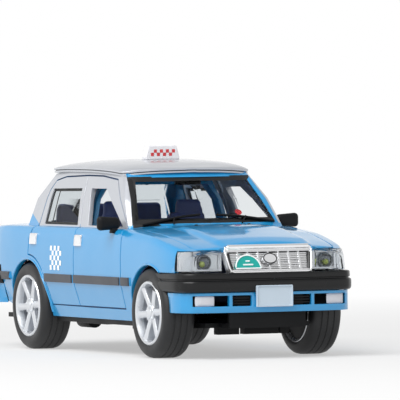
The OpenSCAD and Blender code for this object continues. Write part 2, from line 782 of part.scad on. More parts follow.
// Door mirror: a housing on a short foot at the front of the window
mirror_share = 0.705;
mirror_l = 2.6;
mirror_h = 4.2;
mirror_reach = half_w + mirror_out;
mirror_drop = 0.5;
mirror_z = belt_z - mirror_drop;
mirror_foot_h = 1.4;
mirror_foot_l = 2;
mirror_gap_y = 0.9;
module door_mirror() {
    x = along(mirror_share);
    y0 = wide(cabin_base_shares[4][1]) + mirror_gap_y;
    color("#141517") difference() {
        union() {
            block(x - mirror_l / 2, x + mirror_l / 2, y0, mirror_reach, mirror_z, mirror_z + mirror_h);
            block(x - mirror_foot_l / 2, x + mirror_foot_l / 2, y0 - 2 * mirror_gap_y, y0 + wall,
                mirror_z + snug,
                mirror_z + mirror_foot_h);
        }
        cabin(-snug);
        core(-snug);
    }
}
module left_mirror() door_mirror();
module right_mirror() mirror([0, 1, 0]) door_mirror();

// Bonnet and boot lid, with their hinge arms
// Extra room along the hinged edge of a lid, where it turns past the body behind it
turn_room = 0.4;
module bonnet() {
    color("#3f9fdc") difference() {
        intersection() {
            difference() {
                core();
                core(wall);
            }
            bonnet_zone(-panel_gap / 2);
        }
        block(-length, along(bonnet_shares[0][0]) + panel_gap / 2 + turn_room, -half_w, half_w, 0, eave_z);
        grille_frame_at() front_prism(grille_face(panel_gap), -grille_d - panel_gap, overrun);
    }
}
module boot_lid() {
    color("#3f9fdc") difference() {
        intersection() {
            difference() {
                core();
                core(wall);
            }
            boot_zone(-panel_gap / 2);
        }
        block(along(boot_shares[0][0]) - panel_gap / 2 - turn_room, length, -half_w, half_w, 0, eave_z);
    }
}
arm_r = 0.9;
arm_pin_r = 0.5;
arm_t = 1;
arm_reach = 9;
arm_seat = 3.6;
// Height of the body over a place, from the sections on both sides of it
lid_shares = [0, 0.2, 0.5, 0.8, 1];
function lid_z(x, y) =
    let (zc = lookup(x, [for (st = station_shares) [along(st[0]), crown_rise(st)]]),
        zs = lookup(x, [for (st = station_shares) [along(st[0]), up(st[3])]]),
        ys = lookup(x, [for (st = station_shares) [along(st[0]), wide(st[1] - shoulder_share)]]))
    zc - (zc - zs) * lookup(y / ys, [for (k = lid_shares) [k, k * k]]);
// A hinge arm: barrel on the pin, bar, and a pad that reaches up to the underside of the lid
module hinge_arm(x, z, way) {
    far = x + way * arm_reach;
    seat = x + way * (arm_reach - arm_seat);
    under = wall + clear;
    y = arm_y + arm_w / 2 + wall;
    difference() {
        union() {
            rod_y(x, arm_y - arm_w / 2, arm_y + arm_w / 2, z, arm_r);
            translate([0, arm_y + arm_w / 2, 0]) rotate([90, 0, 0]) linear_extrude(arm_w)
                polygon([[x, z - arm_r / 2], [x, z - arm_r], [far, z - arm_r - arm_t / 2],
                    [far, lid_z(far, y) - under],
                    [seat, lid_z(seat, y) - under], [seat - way * arm_t, z - arm_r + arm_t / 2]]);
        }
        rod_y(x, 0, body_w, z, arm_pin_r + run_fit);
    }
}
module bonnet_hinges() color("#8d9096") sides() hinge_arm(bonnet_axis, bonnet_axis_z, 1);
module boot_hinges() color("#8d9096") sides() hinge_arm(boot_axis, boot_axis_z, -1);

// Chassis: plate, axle bearings, battery box, mud flaps and silencer moulded in
pan_t = 1.3;
pan_z = sill_z - clear - pan_t;
pan_in = 3.4;
pan_w = half_w - pan_in;
pan_tyre_gap = 1.8;
pan_slim = wheel_y - tyre_w / 2 - pan_tyre_gap;
wheel_room = 1.6;
bearing_w = 2.6;
bearing_l = 5;
bearing_wall = 1.4;
bearing_top = axle_z + axle_d / 2 + bearing_wall;
pan_front_share = 1.8;
pan_rear_share = -0.9;
tail_w_share = 0.78;
nose_w_share = 0.43;
nose_block_shares = [[-0.38, -0.145], [-0.085, 0.3], [0.32, 0.42]];
nose_block_x_shares = [1.28, 1.4];
nose_block_low = 6.5;
box_share = 0.58;
box_low = 6.9;
box_top = 12.8;
box_wall = 1.1;
box_room = 0.25;
cell_room = 0.65;
cover_t = 1.1;
cell_d = 7.9;
cell_h = 3.6;
cell_count = 3;
box_l = cell_d + 2 * box_wall + 2 * cell_room;
box_w = cell_count * (cell_d + 2 * clear) + 2 * box_wall + 2 * box_room;
post_r = 2;
screw_r = 0.8;
screw_head_r = 1.6;
screw_head_h = 0.7;
front_post_share = 0.72;
rear_post_share = -0.42;
post_w = 11.5;
flap_w = 8.4;
flap_t = 1;
flap_low = 6.9;
silencer_r = 2.3;
silencer_l = 9;
tailpipe_r = 0.9;
motor_fore = 12.8;
motor_aft = 5.2;
motor_w = 15;
module pan_plan() {
    reach = tyre_d / 2 + wheel_room;
    polygon(both([[along(pan_front_share), wide(nose_w_share)], [xf + reach, wide(nose_w_share)],
        [xf + reach, pan_slim],
        [xf - reach, pan_slim], [xf - reach, pan_w], [xr + reach, pan_w], [xr + reach, pan_slim],
        [xr - reach, pan_slim],
        [xr - reach, wide(tail_w_share)], [along(pan_rear_share), wide(tail_w_share)]]));
}
module chassis() {
    bx = along(box_share);
    color("#1b1c1f") difference() {
        union() {
            translate([0, 0, pan_z]) linear_extrude(pan_t) pan_plan();
            sides() for (x = [xr, xf]) {
                block(x - bearing_l / 2, x + bearing_l / 2, pan_slim - bearing_w, pan_slim,
                    pan_z + pan_t / 2, bearing_top);
            }
            block(bx - box_l / 2, bx + box_l / 2, -box_w / 2, box_w / 2, box_low, box_top);
            sides() for (x = [along(front_post_share), along(rear_post_share)]) {
                rod_z(x, post_w, pan_z + pan_t / 2, post_top(x), post_r);
            }
            block(along(pan_front_share) - pan_t, along(pan_front_share), -wide(nose_w_share),
                wide(nose_w_share),
                pan_z + pan_t / 2, valance_z + wall);
            for (s = nose_block_shares) {
                block(along(nose_block_x_shares[0]), along(nose_block_x_shares[1]), wide(s[0]), wide(s[1]),
                    nose_block_low, pan_z + pan_t / 2);
            }
            sides() for (x = [xf, xr]) {
                x0 = x - tyre_d / 2 - wheel_room - flap_t - clear;
                block(x0, x0 + flap_t, pan_w - flap_w, pan_w, flap_low, pan_z + pan_t / 2);
            }
            rod_x(along(rear_post_share) - silencer_l, along(rear_post_share), 0, pan_z - silencer_r / 2,
                silencer_r);
            rod_x(along(rear_post_share) - 2 * silencer_l, along(rear_post_share), silencer_r,
                pan_z - tailpipe_r / 2,
                tailpipe_r);
        }
        wheel_holes(axle_d / 2 + run_fit);
        block(bx - box_l / 2 + box_wall, bx + box_l / 2 - box_wall, -box_w / 2 + box_wall,
            box_w / 2 - box_wall, 0,
            box_top - box_wall);
        block(xr - motor_aft - clear, xr + motor_fore + clear, -motor_w / 2 - clear, motor_w / 2 + clear, 0,
            bearing_top + overrun);
        sides() for (x = [along(front_post_share), along(rear_post_share)]) {
            rod_z(x, post_w, 0, belt_z, screw_r + 2 * clear);
            rod_z(x, post_w, 0, pan_z + screw_head_h, screw_head_r + clear);
        }
    }
}
function post_top(x) = x > 0 ? floor_z - snug : bench_z - snug;
module battery_cover() {
    bx = along(box_share);
    color("#1b1c1f") block(bx - box_l / 2 + box_wall + clear, bx + box_l / 2 - box_wall - clear,
        -box_w / 2 + box_wall + clear,
        box_w / 2 - box_wall - clear, box_low, box_low + cover_t);
}
module button_cells() {
    color("#c3c6ca") for (i = [0:cell_count - 1]) {
        rod_z(along(box_share), (i - (cell_count - 1) / 2) * (cell_d + 2 * clear), box_low + cover_t + snug,
            box_low + cover_t + snug + cell_h, cell_d / 2);
    }
}
board_t = 0.8;
board_end = 0.2;
board_l = box_l - 2 * box_wall - board_end;
board_in = 2.5;
board_w = box_w - 2 * board_in;
module circuit_board() {
    bx = along(box_share);
    color("#2c6b3f") block(bx - board_l / 2, bx + board_l / 2, -board_w / 2, board_w / 2, box_top + snug,
        box_top + snug + board_t);
}

// Interior tub: floor, raised rear floor and boot floor, side walls, bulkhead and hinge posts
floor_z = 13.7;
floor_t = 1.1;
bench_z = 19.4;
tub_in = 2.6;
tub_w = post_y - tub_in;
tub_tyre_gap = 0.9;
tub_slim = wheel_y - tyre_w / 2 - tub_tyre_gap;
tub_front_share = 0.775;
tub_step_share = 0.25;
tub_rear_share = -0.84;
bulkhead_share = -0.30;
tub_wall_h = 8;
tub_wall_top = floor_z + tub_wall_h;
bulk_w_share = 0.74;
bulk_drop = 2.6;
bulk_top = belt_z - bulk_drop;
web_share = 0.7;
module hinge_post(x) {
    block(x - post_aft, x + post_fore, post_y, post_y + post_t, floor_z, hinge_z[1] + lug_h);
    block(x - post_aft, x, tub_w - floor_t, post_y + post_t, floor_z, floor_z + floor_t);
    block(x - post_aft, x - post_aft + floor_t, tub_w - floor_t, post_y + post_t, floor_z, tub_wall_top);
    for (z = hinge_z) {
        block(x - knuckle_r * web_share, x + knuckle_r * web_share, post_y + post_t / 2, hinge_y,
            z - lug_h - snug, z - snug);
        rod_z(x, hinge_y, z - lug_h - snug, z - snug, knuckle_r);
    }
}
module interior_tub() {
    step_x = along(tub_step_share);
    color("#1d2026") difference() {
        union() {
            block(step_x, along(tub_front_share), -tub_w, tub_w, floor_z, floor_z + floor_t);
            block(step_x - floor_t, step_x + floor_t / 2, -tub_slim, tub_slim, floor_z, bench_z + floor_t);
            block(along(tub_rear_share), step_x, -tub_slim, tub_slim, bench_z, bench_z + floor_t);
            sides() block(step_x, along(tub_front_share), tub_w - floor_t, tub_w, floor_z, tub_wall_top);
            block(along(bulkhead_share) - floor_t, along(bulkhead_share), -tub_slim, tub_slim, bench_z,
                bulk_top);
            block(along(bulkhead_share) - floor_t, along(bulkhead_share), -wide(bulk_w_share),
                wide(bulk_w_share),
                axle_z + arch_r + floor_t, bulk_top);
            sides() {
                hinge_post(front_hinge_x);
                hinge_post(rear_hinge_x);
                block(boot_axis - arm_r, along(bulkhead_share) - floor_t / 2, arm_y + arm_w / 2 + clear,
                    arm_y + arm_w / 2 + clear + floor_t, bulk_top - 2 * floor_t, boot_axis_z - arm_r / 2);
                rod_y(boot_axis, arm_y + arm_w / 2 + clear, arm_y + arm_w / 2 + clear + floor_t,
                    boot_axis_z, arm_r);
            }
        }
        sides() {
            rod_z(front_hinge_x, hinge_y, floor_z + floor_t, belt_z, hinge_pin_r + snug);
            rod_z(rear_hinge_x, hinge_y, floor_z + floor_t, belt_z, hinge_pin_r + snug);
            rod_y(boot_axis, 0, half_w, boot_axis_z, arm_pin_r + snug);
            for (x = [along(front_post_share), along(rear_post_share)]) rod_z(x, post_w, 0,
                bench_z + overrun, screw_r + snug);
        }
    }
}
module hinge_pins() {
    color("#b9bcc1") sides() {
        for (x = [front_hinge_x, rear_hinge_x]) {
            rod_z(x, hinge_y, hinge_z[0] - lug_h - snug, hinge_z[1] + knuckle_h, hinge_pin_r);
        }
        for (a = [[bonnet_axis, bonnet_axis_z], [boot_axis, boot_axis_z]]) {
            rod_y(a[0], arm_y - arm_w / 2, arm_y + arm_w / 2 + clear + floor_t, a[1], arm_pin_r);
        }
    }
}

// Engine bay: tray over the front wheels, firewall and a moulded engine
bay_rise = 0.4;
bay_z = axle_z + arch_r + bay_rise;
bay_t = 1;
bay_w_share = 0.82;
bay_front_share = 1.5;
bay_nose_share = 1.70;
fire_share = 0.865;
fire_drop = 3.4;
fire_top = belt_z - fire_drop;
engine_shares = [0.94, 1.32];
engine_w = 7;
engine_h = 4;
cam_h = 0.9;
battery_l = 6;
battery_w = 7;
battery_h = 3.6;
module engine_bay() {
    fx = along(fire_share);
    color("#26282c") difference() {
        union() {
            block(fx, along(bay_front_share), -wide(bay_w_share), wide(bay_w_share), bay_z, bay_z + bay_t);
            block(along(bay_front_share) - bay_t, along(bay_nose_share), -grille_low_w + bay_t,
                grille_low_w - bay_t, bay_z,
                bay_z + bay_t);
            block(fx - bay_t, fx, -wide(bay_w_share), wide(bay_w_share), bay_z, fire_top);
            block(fx - bay_t, fx, -pan_slim, pan_slim, floor_z + floor_t, bay_z + bay_t);
            block(along(engine_shares[0]), along(engine_shares[1]), -engine_w, engine_w, bay_z,
                bay_z + engine_h);
            block(along(engine_shares[0]) + bay_t, along(engine_shares[1]) - bay_t, -engine_w / 3,
                engine_w / 3, bay_z,
                bay_z + engine_h + cam_h);
            block(along(engine_shares[0]), along(engine_shares[0]) + battery_l, engine_w + 2 * bay_t,
                engine_w + 2 * bay_t + battery_w, bay_z, bay_z + battery_h);
            sides() {
                block(bonnet_axis, fx - bay_t / 2, arm_y + arm_w / 2 + clear,
                    arm_y + arm_w / 2 + clear + floor_t,
                    fire_top - 2 * bay_t, bonnet_axis_z - arm_r / 2);
                rod_y(bonnet_axis, arm_y + arm_w / 2 + clear, arm_y + arm_w / 2 + clear + floor_t,
                    bonnet_axis_z, arm_r);
            }
        }
        sides() rod_y(bonnet_axis, 0, half_w, bonnet_axis_z, arm_pin_r + snug);
    }
}

// Seats
seat_share = 0.41;
seat_mid = 2.9;
seat_side = 1;
seat_w = tub_w - floor_t - seat_side - seat_mid;
seat_y = seat_mid + seat_w / 2;
seat_l = 15.5;
seat_h = 6.5;
back_t = 4;
back_h = 20;
back_lean = 12;
rest_w = 8;
rest_h = 4.2;
rest_t = 2.4;
module seat_shape(w, rest) {
    block(-back_t, seat_l, -w / 2, w / 2, 0, seat_h);
    rotate([0, -back_lean, 0]) {
        block(-back_t, 0, -w / 2, w / 2, 0, back_h);
        for (y = rest) {
            block(-back_t / 2 - rest_t / 2, -back_t / 2 + rest_t / 2, y - rest_w / 2, y + rest_w / 2,
                back_h - clear,
                back_h + rest_h);
        }
    }
}
module front_seats() {
    color("#20242d") sides() intersection() {
        translate([along(seat_share), seat_y, floor_z + floor_t + snug]) seat_shape(seat_w, [0]);
        block(-length, length, 0, half_w, floor_z + floor_t + snug, eave_z);
    }
}
bench_share = 0.0;
bench_side = 0.45;
bench_w = 2 * (tub_slim - bench_side);
bench_seat_h = 5;
bench_back_h = 15;
module rear_bench() {
    color("#20242d") translate([along(bench_share), 0, bench_z + floor_t + snug]) {
        block(0, seat_l, -bench_w / 2, bench_w / 2, 0, bench_seat_h);
        block(-back_t, 0, -bench_w / 2, bench_w / 2, 0, bench_back_h);
    }
}
dash_share = 0.70;
dash_w_share = 0.76;
dash_depth = 8;
dash_low = belt_z - dash_depth;
dash_drop = 0.9;
dash_top = belt_z - dash_drop;
dash_leg_share = 0.15;
hood_h = 0.9;
wheel_back = 2.46;
wheel_r = 4.6;
wheel_rim_r = 0.6;
wheel_lean = 28;
steer_x = along(dash_share) - wheel_back;
steer_y = -seat_y;
steer_drop = 3.6;
steer_z = belt_z - steer_drop;
module dashboard() {
    x0 = along(dash_share);
    x1 = bonnet_axis - arm_r - 2 * clear;
    color("#22252c") {
        block(x0, x1, -wide(dash_w_share), wide(dash_w_share), dash_low, dash_top - hood_h);
        block(x0 + hood_h, x1 - hood_h, steer_y - wheel_r, steer_y + wheel_r, dash_low, dash_top);
        block(x0, x1, -wide(dash_leg_share), wide(dash_leg_share), floor_z + floor_t + snug,
            dash_low + hood_h);
    }
}
module steering_wheel() {
    color("#15171a") translate([steer_x, steer_y, steer_z]) rotate([0, -wheel_lean, 0]) {
        rotate([0, 90, 0]) rotate_extrude() translate([wheel_r - wheel_rim_r, 0]) circle(r = wheel_rim_r);
        for (a = [0, 90, 180]) {
            rotate([a - 90, 0, 0]) block(-wheel_rim_r / 2, wheel_rim_r / 2, -wheel_rim_r, wheel_rim_r, 0,
                wheel_r - wheel_rim_r);
        }
        rod_x(-wheel_rim_r, wheel_rim_r, 0, 0, 2 * wheel_rim_r);
        rod_x(0, column_l, 0, 0, wheel_rim_r);
    }
}
column_l = 2.1;
visor_share = 0.628;
visor_w = 8;
visor_h = 2.2;
visor_t = 0.8;
visor_z_share = 1.75;
module interior_mirror() {
    x = along(visor_share);
    color("#8f9296") intersection() {
        union() {
            block(x - visor_t, x, -visor_w / 2, visor_w / 2, up(visor_z_share),
                up(visor_z_share) + visor_h);
            block(x - visor_t, x + overrun, -visor_t, visor_t, up(visor_z_share) + visor_t,
                up(visor_z_share) + 2 * visor_t);
        }
        cabin(glass_in + glass_t + snug);
    }
}

// Wheels: steel axle, plated rims with six spokes, rubber tyres
spoke_count = 6;
rim_lip = 0.9;
rim_t = 0.9;
rim_w = tyre_w;
spoke_w = 2.2;
spoke_t = 1.2;
spoke_in = 1.0;
hub_r = 2.6;
hub_h = 3.2;
lug_count = 5;
lug_r = 0.45;
lug_ring = 1.85;
cap_r = 1;
tyre_round = 1.4;
groove_w = 0.5;
groove_deep = 0.35;
rim_out = 0.15;
module rim() {
    r = rim_d / 2;
    w = rim_w / 2;
    rotate([-90, 0, 0]) {
        rotate_extrude() polygon([[r - rim_t, -w], [r - snug, -w], [r - snug, w - rim_lip / 2], [r,
            w + rim_out],
            [r - rim_lip, w + rim_out], [r - rim_lip - rim_t / 2, w - rim_lip], [r - rim_t, 0]]);
        for (i = [0:spoke_count - 1]) {
            rotate([0, 0, i * 360 / spoke_count]) translate([0, -spoke_w / 2, w - spoke_in - spoke_t])
                cube([r - rim_t / 2, spoke_w, spoke_t]);
        }
        difference() {
            translate([0, 0, w - hub_h]) cylinder(r = hub_r, h = hub_h - spoke_in / 2);
            translate([0, 0, -overrun]) cylinder(d = axle_d + 2 * snug,
                h = overrun + w - spoke_in - spoke_t);
        }
        for (i = [0:lug_count - 1]) {
            rotate([0, 0, i * 360 / lug_count]) translate([lug_ring, 0,
                w - spoke_in]) cylinder(r = lug_r, h = spoke_in);
        }
        translate([0, 0, w - spoke_in]) cylinder(r = cap_r, h = spoke_in + rim_out);
    }
}
module tyre() {
    r = tyre_d / 2;
    w = tyre_w / 2;
    rotate([-90, 0, 0]) rotate_extrude() difference() {
        polygon([[rim_d / 2, -w], [r - tyre_round, -w], [r, -w + tyre_round], [r, w - tyre_round],
            [r - tyre_round, w],
            [rim_d / 2, w - rim_lip]]);
        for (k = [-1, 0, 1]) translate([r - groove_deep, k * tyre_w / 4 - groove_w / 2]) square([overrun,
            groove_w]);
    }
}
module pair(x) {
    translate([x, wheel_y, axle_z]) children();
    translate([x, -wheel_y, axle_z]) mirror([0, 1, 0]) children();
}
axle_l = 2 * wheel_y + rim_w - 2 * spoke_in - 2 * spoke_t - 4 * clear;
module axle(x) color("#aab0b6") rod_y(x, -axle_l / 2, axle_l / 2, axle_z, axle_d / 2);
module front_axle() axle(xf);
module rear_axle() axle(xr);
module front_rims() color("#d3d6da") pair(xf) rim();
module rear_rims() color("#d3d6da") pair(xr) rim();
module front_tyres() color("#1a1a1b") pair(xf) tyre();
module rear_tyres() color("#1a1a1b") pair(xr) tyre();

// Pull-back motor: case in two halves, gear on the rear axle, spring drum and mainspring
gear_module = 0.55;
drive_teeth = 10;
drum_teeth = 14;
tooth_share = 0.40;
tip_share = 0.17;
root_share = 1.15;
rise_share = 0.8;
foot_share = 0.75;
gear_w = 2.4;
case_t = 1;
gear_room = 0.7;
drum_room = 1.5;
gear_y = motor_w / 2 - case_t - gear_w - gear_room;
drum_r = drum_teeth * gear_module / 2;
drive_r = drive_teeth * gear_module / 2;
drum_x = xr + drive_r + drum_r + run_fit;
drum_pin_r = 1;
drum_len = motor_w - 2 * case_t - gear_w - gear_room - drum_room;
drum_body_r = 3.4;
drum_wall = 0.7;
spring_t = 0.25;
spring_turns = 3;
case_low = 7.0;
case_top = 18.8;
function gear_points(n, phase) = [for (i = [0:n - 1]) let (r = n * gear_module / 2, p = 360 / n,
    a0 = phase + i * p, root = r - root_share * gear_module, tip = r + rise_share * gear_module,
    b = p * tooth_share * foot_share)
    each [[root * cos(a0 - b), root * sin(a0 - b)],
        [r * cos(a0 - p * tooth_share / 2), r * sin(a0 - p * tooth_share / 2)],
        [tip * cos(a0 - p * tip_share / 2), tip * sin(a0 - p * tip_share / 2)],
        [tip * cos(a0 + p * tip_share / 2), tip * sin(a0 + p * tip_share / 2)],
        [r * cos(a0 + p * tooth_share / 2), r * sin(a0 + p * tooth_share / 2)],
        [root * cos(a0 + b), root * sin(a0 + b)]]];
module gear(n, phase) rotate([-90, 0, 0]) linear_extrude(gear_w) polygon(gear_points(n, phase));
module drive_gear() {
    color("#e7e2d3") translate([xr, gear_y, axle_z]) difference() {
        gear(drive_teeth, 0);
        rod_y(0, -overrun, overrun, 0, axle_d / 2 + snug);
    }
}
module spring_drum() {
    color("#e7e2d3") translate([drum_x, 0, axle_z]) difference() {
        union() {
            translate([0, gear_y, 0]) gear(drum_teeth, 180 + 180 / drum_teeth);
            rod_y(0, gear_y - drum_len, gear_y, 0, drum_body_r);
        }
        rod_y(0, gear_y - drum_len - overrun, gear_y - drum_wall, 0, drum_body_r - drum_wall);
        rod_y(0, -body_w, body_w, 0, drum_pin_r + run_fit);
    }
}
function spiral(turns, r0, r1, n, side) = [for (i = [0:n]) let (a = i * turns * 360 / n,
    r = r0 + (r1 - r0) * i / n + side)
    [r * cos(a), r * sin(a)]];
spring_points = 60;
module mainspring() {
    r0 = drum_pin_r + 3 * clear + spring_t;
    r1 = drum_body_r - drum_wall - clear - spring_t;
    outer = spiral(spring_turns, r0, r1, spring_points, spring_t / 2);
    inner = spiral(spring_turns, r0, r1, spring_points, -spring_t / 2);
    color("#8f959c") translate([drum_x, gear_y - drum_len + clear, axle_z]) rotate([-90, 0, 0])
        linear_extrude(drum_len - drum_wall - 2 * clear)
        polygon(concat(outer, [for (i = [len(inner) - 1:-1:0]) inner[i]]));
}
module case_half(y0, y1) {
    difference() {
        block(xr - motor_aft, xr + motor_fore, y0, y1, case_low, case_top);
        block(xr - motor_aft + case_t, xr + motor_fore - case_t, -motor_w / 2 + case_t,
            motor_w / 2 - case_t,
            case_low + case_t, case_top - case_t);
        rod_y(xr, -body_w, body_w, axle_z, axle_d / 2 + run_fit);
    }
}
module motor_case() {
    color("#c9452f") {
        case_half(-motor_w / 2, motor_w / 4);
        rod_y(drum_x, -motor_w / 2 + case_t / 2, motor_w / 2 - case_t - clear, axle_z, drum_pin_r);
    }
}
module motor_lid() color("#3a3d42") case_half(motor_w / 4 + snug, motor_w / 2);

module screws() {
    color("#9aa0a6") sides() for (x = [along(front_post_share), along(rear_post_share)]) {
        difference() {
            union() {
                rod_z(x, post_w, pan_z + screw_head_h - snug, post_top(x) + floor_t / 2, screw_r);
                rod_z(x, post_w, pan_z - snug, pan_z + screw_head_h - snug, screw_head_r);
            }
            for (a = [0, 90]) translate([x, post_w, pan_z]) rotate([0, 0, a])
                cube([2 * screw_r, screw_r / 2, screw_head_h], center = true);
        }
    }
}

body_shell();
roof_panel();
roof_sign();
windscreen();
rear_window();
wipers();
front_bumper();
front_valance();
rear_bumper();
rear_valance();
lower_grille();
fog_lamps();
grille();
permit_badge();
front_plate();
rear_plate();
headlamp_lenses();
headlamp_bowls();
lamp_leds();
tail_lamps();
front_left_door();
front_right_door();
rear_left_door();
rear_right_door();
front_left_card();
front_right_card();
rear_left_card();
rear_right_card();
rear_left_glass();
rear_right_glass();
left_mirror();
right_mirror();
bonnet();
bonnet_hinges();
boot_lid();
boot_hinges();
chassis();
battery_cover();
button_cells();
circuit_board();
interior_tub();
hinge_pins();
engine_bay();
front_seats();
rear_bench();
dashboard();
steering_wheel();
interior_mirror();
front_axle();
front_rims();
front_tyres();
rear_axle();
rear_rims();
rear_tyres();
drive_gear();
spring_drum();
mainspring();
motor_case();
motor_lid();
screws();
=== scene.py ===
"""Toy taxi: the looks of the car, piece by piece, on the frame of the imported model."""

from math import atan2, cos, radians, sin, sqrt, tau

import bmesh
import bpy
from mathutils import Matrix, Vector


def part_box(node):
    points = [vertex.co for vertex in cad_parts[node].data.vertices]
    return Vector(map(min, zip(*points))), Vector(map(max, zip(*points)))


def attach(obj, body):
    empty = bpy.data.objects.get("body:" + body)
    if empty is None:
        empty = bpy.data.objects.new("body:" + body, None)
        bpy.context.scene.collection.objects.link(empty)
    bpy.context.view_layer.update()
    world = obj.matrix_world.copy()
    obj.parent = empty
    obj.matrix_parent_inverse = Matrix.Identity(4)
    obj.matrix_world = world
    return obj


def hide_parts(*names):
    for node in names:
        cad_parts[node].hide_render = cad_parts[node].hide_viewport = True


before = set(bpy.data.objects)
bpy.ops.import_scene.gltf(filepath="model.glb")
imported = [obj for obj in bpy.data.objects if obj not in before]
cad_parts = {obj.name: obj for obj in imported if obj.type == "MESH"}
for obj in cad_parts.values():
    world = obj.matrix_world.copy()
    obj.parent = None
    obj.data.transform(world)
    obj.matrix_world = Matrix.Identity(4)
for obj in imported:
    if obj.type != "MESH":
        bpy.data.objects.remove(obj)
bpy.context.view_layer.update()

# Chassis: one black ABS moulding under the car, with the axle bearings, mud flaps and silencer in it.
# The tool leaves a fine matt grain. Four screws hold it, together with the tub, to the casting.
MM = 0.001


def linear(code):
    """An sRGB hex colour as linear red, green, blue and alpha."""
    parts = [int(code[i : i + 2], 16) / 255 for i in (1, 3, 5)]
    return [p / 12.92 if p <= 0.04045 else ((p + 0.055) / 1.055) ** 2.4 for p in parts] + [1]


def add(mat, kind, sockets, **settings):
    """Adds a shader node, or takes one by name; a socket gets a value or another node's output."""
    tree = mat.node_tree
    node = tree.nodes.get(kind) or tree.nodes.new(kind)
    for key, value in settings.items():
        setattr(node, key, value)
    for key, value in sockets.items():
        if isinstance(value, bpy.types.NodeSocket):
            tree.links.new(value, node.inputs[key])
        else:
            node.inputs[key].default_value = value
    return node


def finish(name, colour, rough, grain, depth, patch=9, uneven=0.12, **sockets):
    """A finish with a grain and patches of uneven gloss; grain, depth and patch are in mm."""
    # Real moulding, paint and plating grains are under 0.1 mm. They are drawn coarser, so that they show.
    mat = bpy.data.materials.new(name)
    mat.use_nodes = True
    place = add(mat, "ShaderNodeTexCoord", {}).outputs["Object"]
    fine = add(mat, "ShaderNodeTexNoise", {"Vector": place, "Scale": 1 / (grain * MM), "Detail": 3.0})
    broad = add(mat, "ShaderNodeTexNoise", {"Vector": place, "Scale": 1 / (patch * MM)})
    ends = {"To Min": rough * (1 - uneven), "To Max": rough * (1 + uneven)}
    values = {"Value": broad.outputs["Fac"], "From Min": 0.3, "From Max": 0.7}
    spread = add(mat, "ShaderNodeMapRange", values | ends)
    relief = {"Height": fine.outputs["Fac"], "Strength": 1.0, "Distance": depth * MM}
    bump = add(mat, "ShaderNodeBump", relief)
    base = {"Base Color": linear(colour), "Roughness": spread.outputs["Result"]}
    base["Normal"] = bump.outputs["Normal"]
    add(mat, "Principled BSDF", base | {key.replace("_", " "): value for key, value in sockets.items()})
    return mat


def dress(mat, slot, *nodes, edge=0.06):
    """Gives CAD nodes a finish and a small rounded edge."""
    for name in nodes:
        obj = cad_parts[name]
        obj.data.materials.clear()
        obj.data.materials.append(mat)
        weld = obj.modifiers.new("weld", "WELD")
        weld.merge_threshold = 0.001 * MM
        bevel = obj.modifiers.new("edge", "BEVEL")
        bevel.width = edge * MM
        bevel.segments = 2
        bevel.limit_method = "ANGLE"
        bevel.angle_limit = radians(40)


# Black ABS from a spark-eroded tool: matt, with light broken up by the grain.
black_abs = finish("black_abs", "#0E0F11", 0.48, 0.35, 0.005, Specular_IOR_Level=0.2)
dress(black_abs, "black_plastic", "chassis", "battery_cover")

# Zinc-plated steel of the axles, screws and pins: cool and bright, with small sharp highlights.
zinc_steel = finish("zinc_plated_steel", "#B9BABC", 0.3, 0.2, 0.002, Metallic=1.0)
dress(zinc_steel, "steel", "screws", "front_axle", "rear_axle", "hinge_pins", "button_cells", "mainspring")

# Solder mask on the small circuit board for the lamps: a half-gloss green skin.
solder_mask = finish("solder_mask", "#1F6B3C", 0.35, 0.4, 0.003)
dress(solder_mask, "board_green", "circuit_board")

# Acetal of the pull-back motor, as moulded: waxy, with soft broad highlights.
white_acetal = finish("white_acetal", "#E9E6DC", 0.4, 0.5, 0.003)
dress(white_acetal, "gear_plastic", "drive_gear", "spring_drum")
grey_acetal = finish("grey_acetal", "#8C8F94", 0.45, 0.5, 0.003)
dress(grey_acetal, "motor_grey", "motor_lid")
black_acetal = finish("black_acetal", "#2A2B2E", 0.42, 0.5, 0.003)
dress(black_acetal, "motor_plastic", "motor_case")

# Tyres: soft black PVC rings pressed over the rims, low in the wall, with a fine tread.
# The outer wall has a shallow step at the rim and a rounded shoulder.
tyre_low, tyre_high = (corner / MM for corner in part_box("front_tyres"))
TYRE_R = (tyre_high.z - tyre_low.z) / 2
AXLE_Z = (tyre_high.z + tyre_low.z) / 2
AXLE_FRONT = (tyre_high.x + tyre_low.x) / 2
rear_low, rear_high = (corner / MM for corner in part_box("rear_tyres"))
AXLE_REAR = (rear_high.x + rear_low.x) / 2
WHEEL_FACE = tyre_high.y


def lathe(bm, profile, centre, steps, axis=(0, 1, 0), spoke=(0, 0, 1), angle=tau, closed=False):
    """Spins a profile of radius and place along the axis, in mm, about the axis through the centre."""
    axis, spoke = Vector(axis), Vector(spoke)
    points = [(Vector(centre) + axis * place + spoke * radius) * MM for radius, place in profile]
    verts = [bm.verts.new(point) for point in points]
    edges = [bm.edges.new(pair) for pair in zip(verts, verts[1:])]
    if closed:
        edges.append(bm.edges.new((verts[-1], verts[0])))
    spun = {"cent": Vector(centre) * MM, "axis": axis, "angle": angle, "steps": steps}
    bmesh.ops.spin(bm, geom=verts + edges, use_merge=angle == tau, **spun)
    bmesh.ops.remove_doubles(bm, verts=bm.verts, dist=0.002 * MM)


def mirror_y(bm):
    """Adds the other side's copy of everything in the mesh."""
    bmesh.ops.mirror(bm, geom=bm.verts[:] + bm.edges[:] + bm.faces[:], merge_dist=0.0, axis="Y")


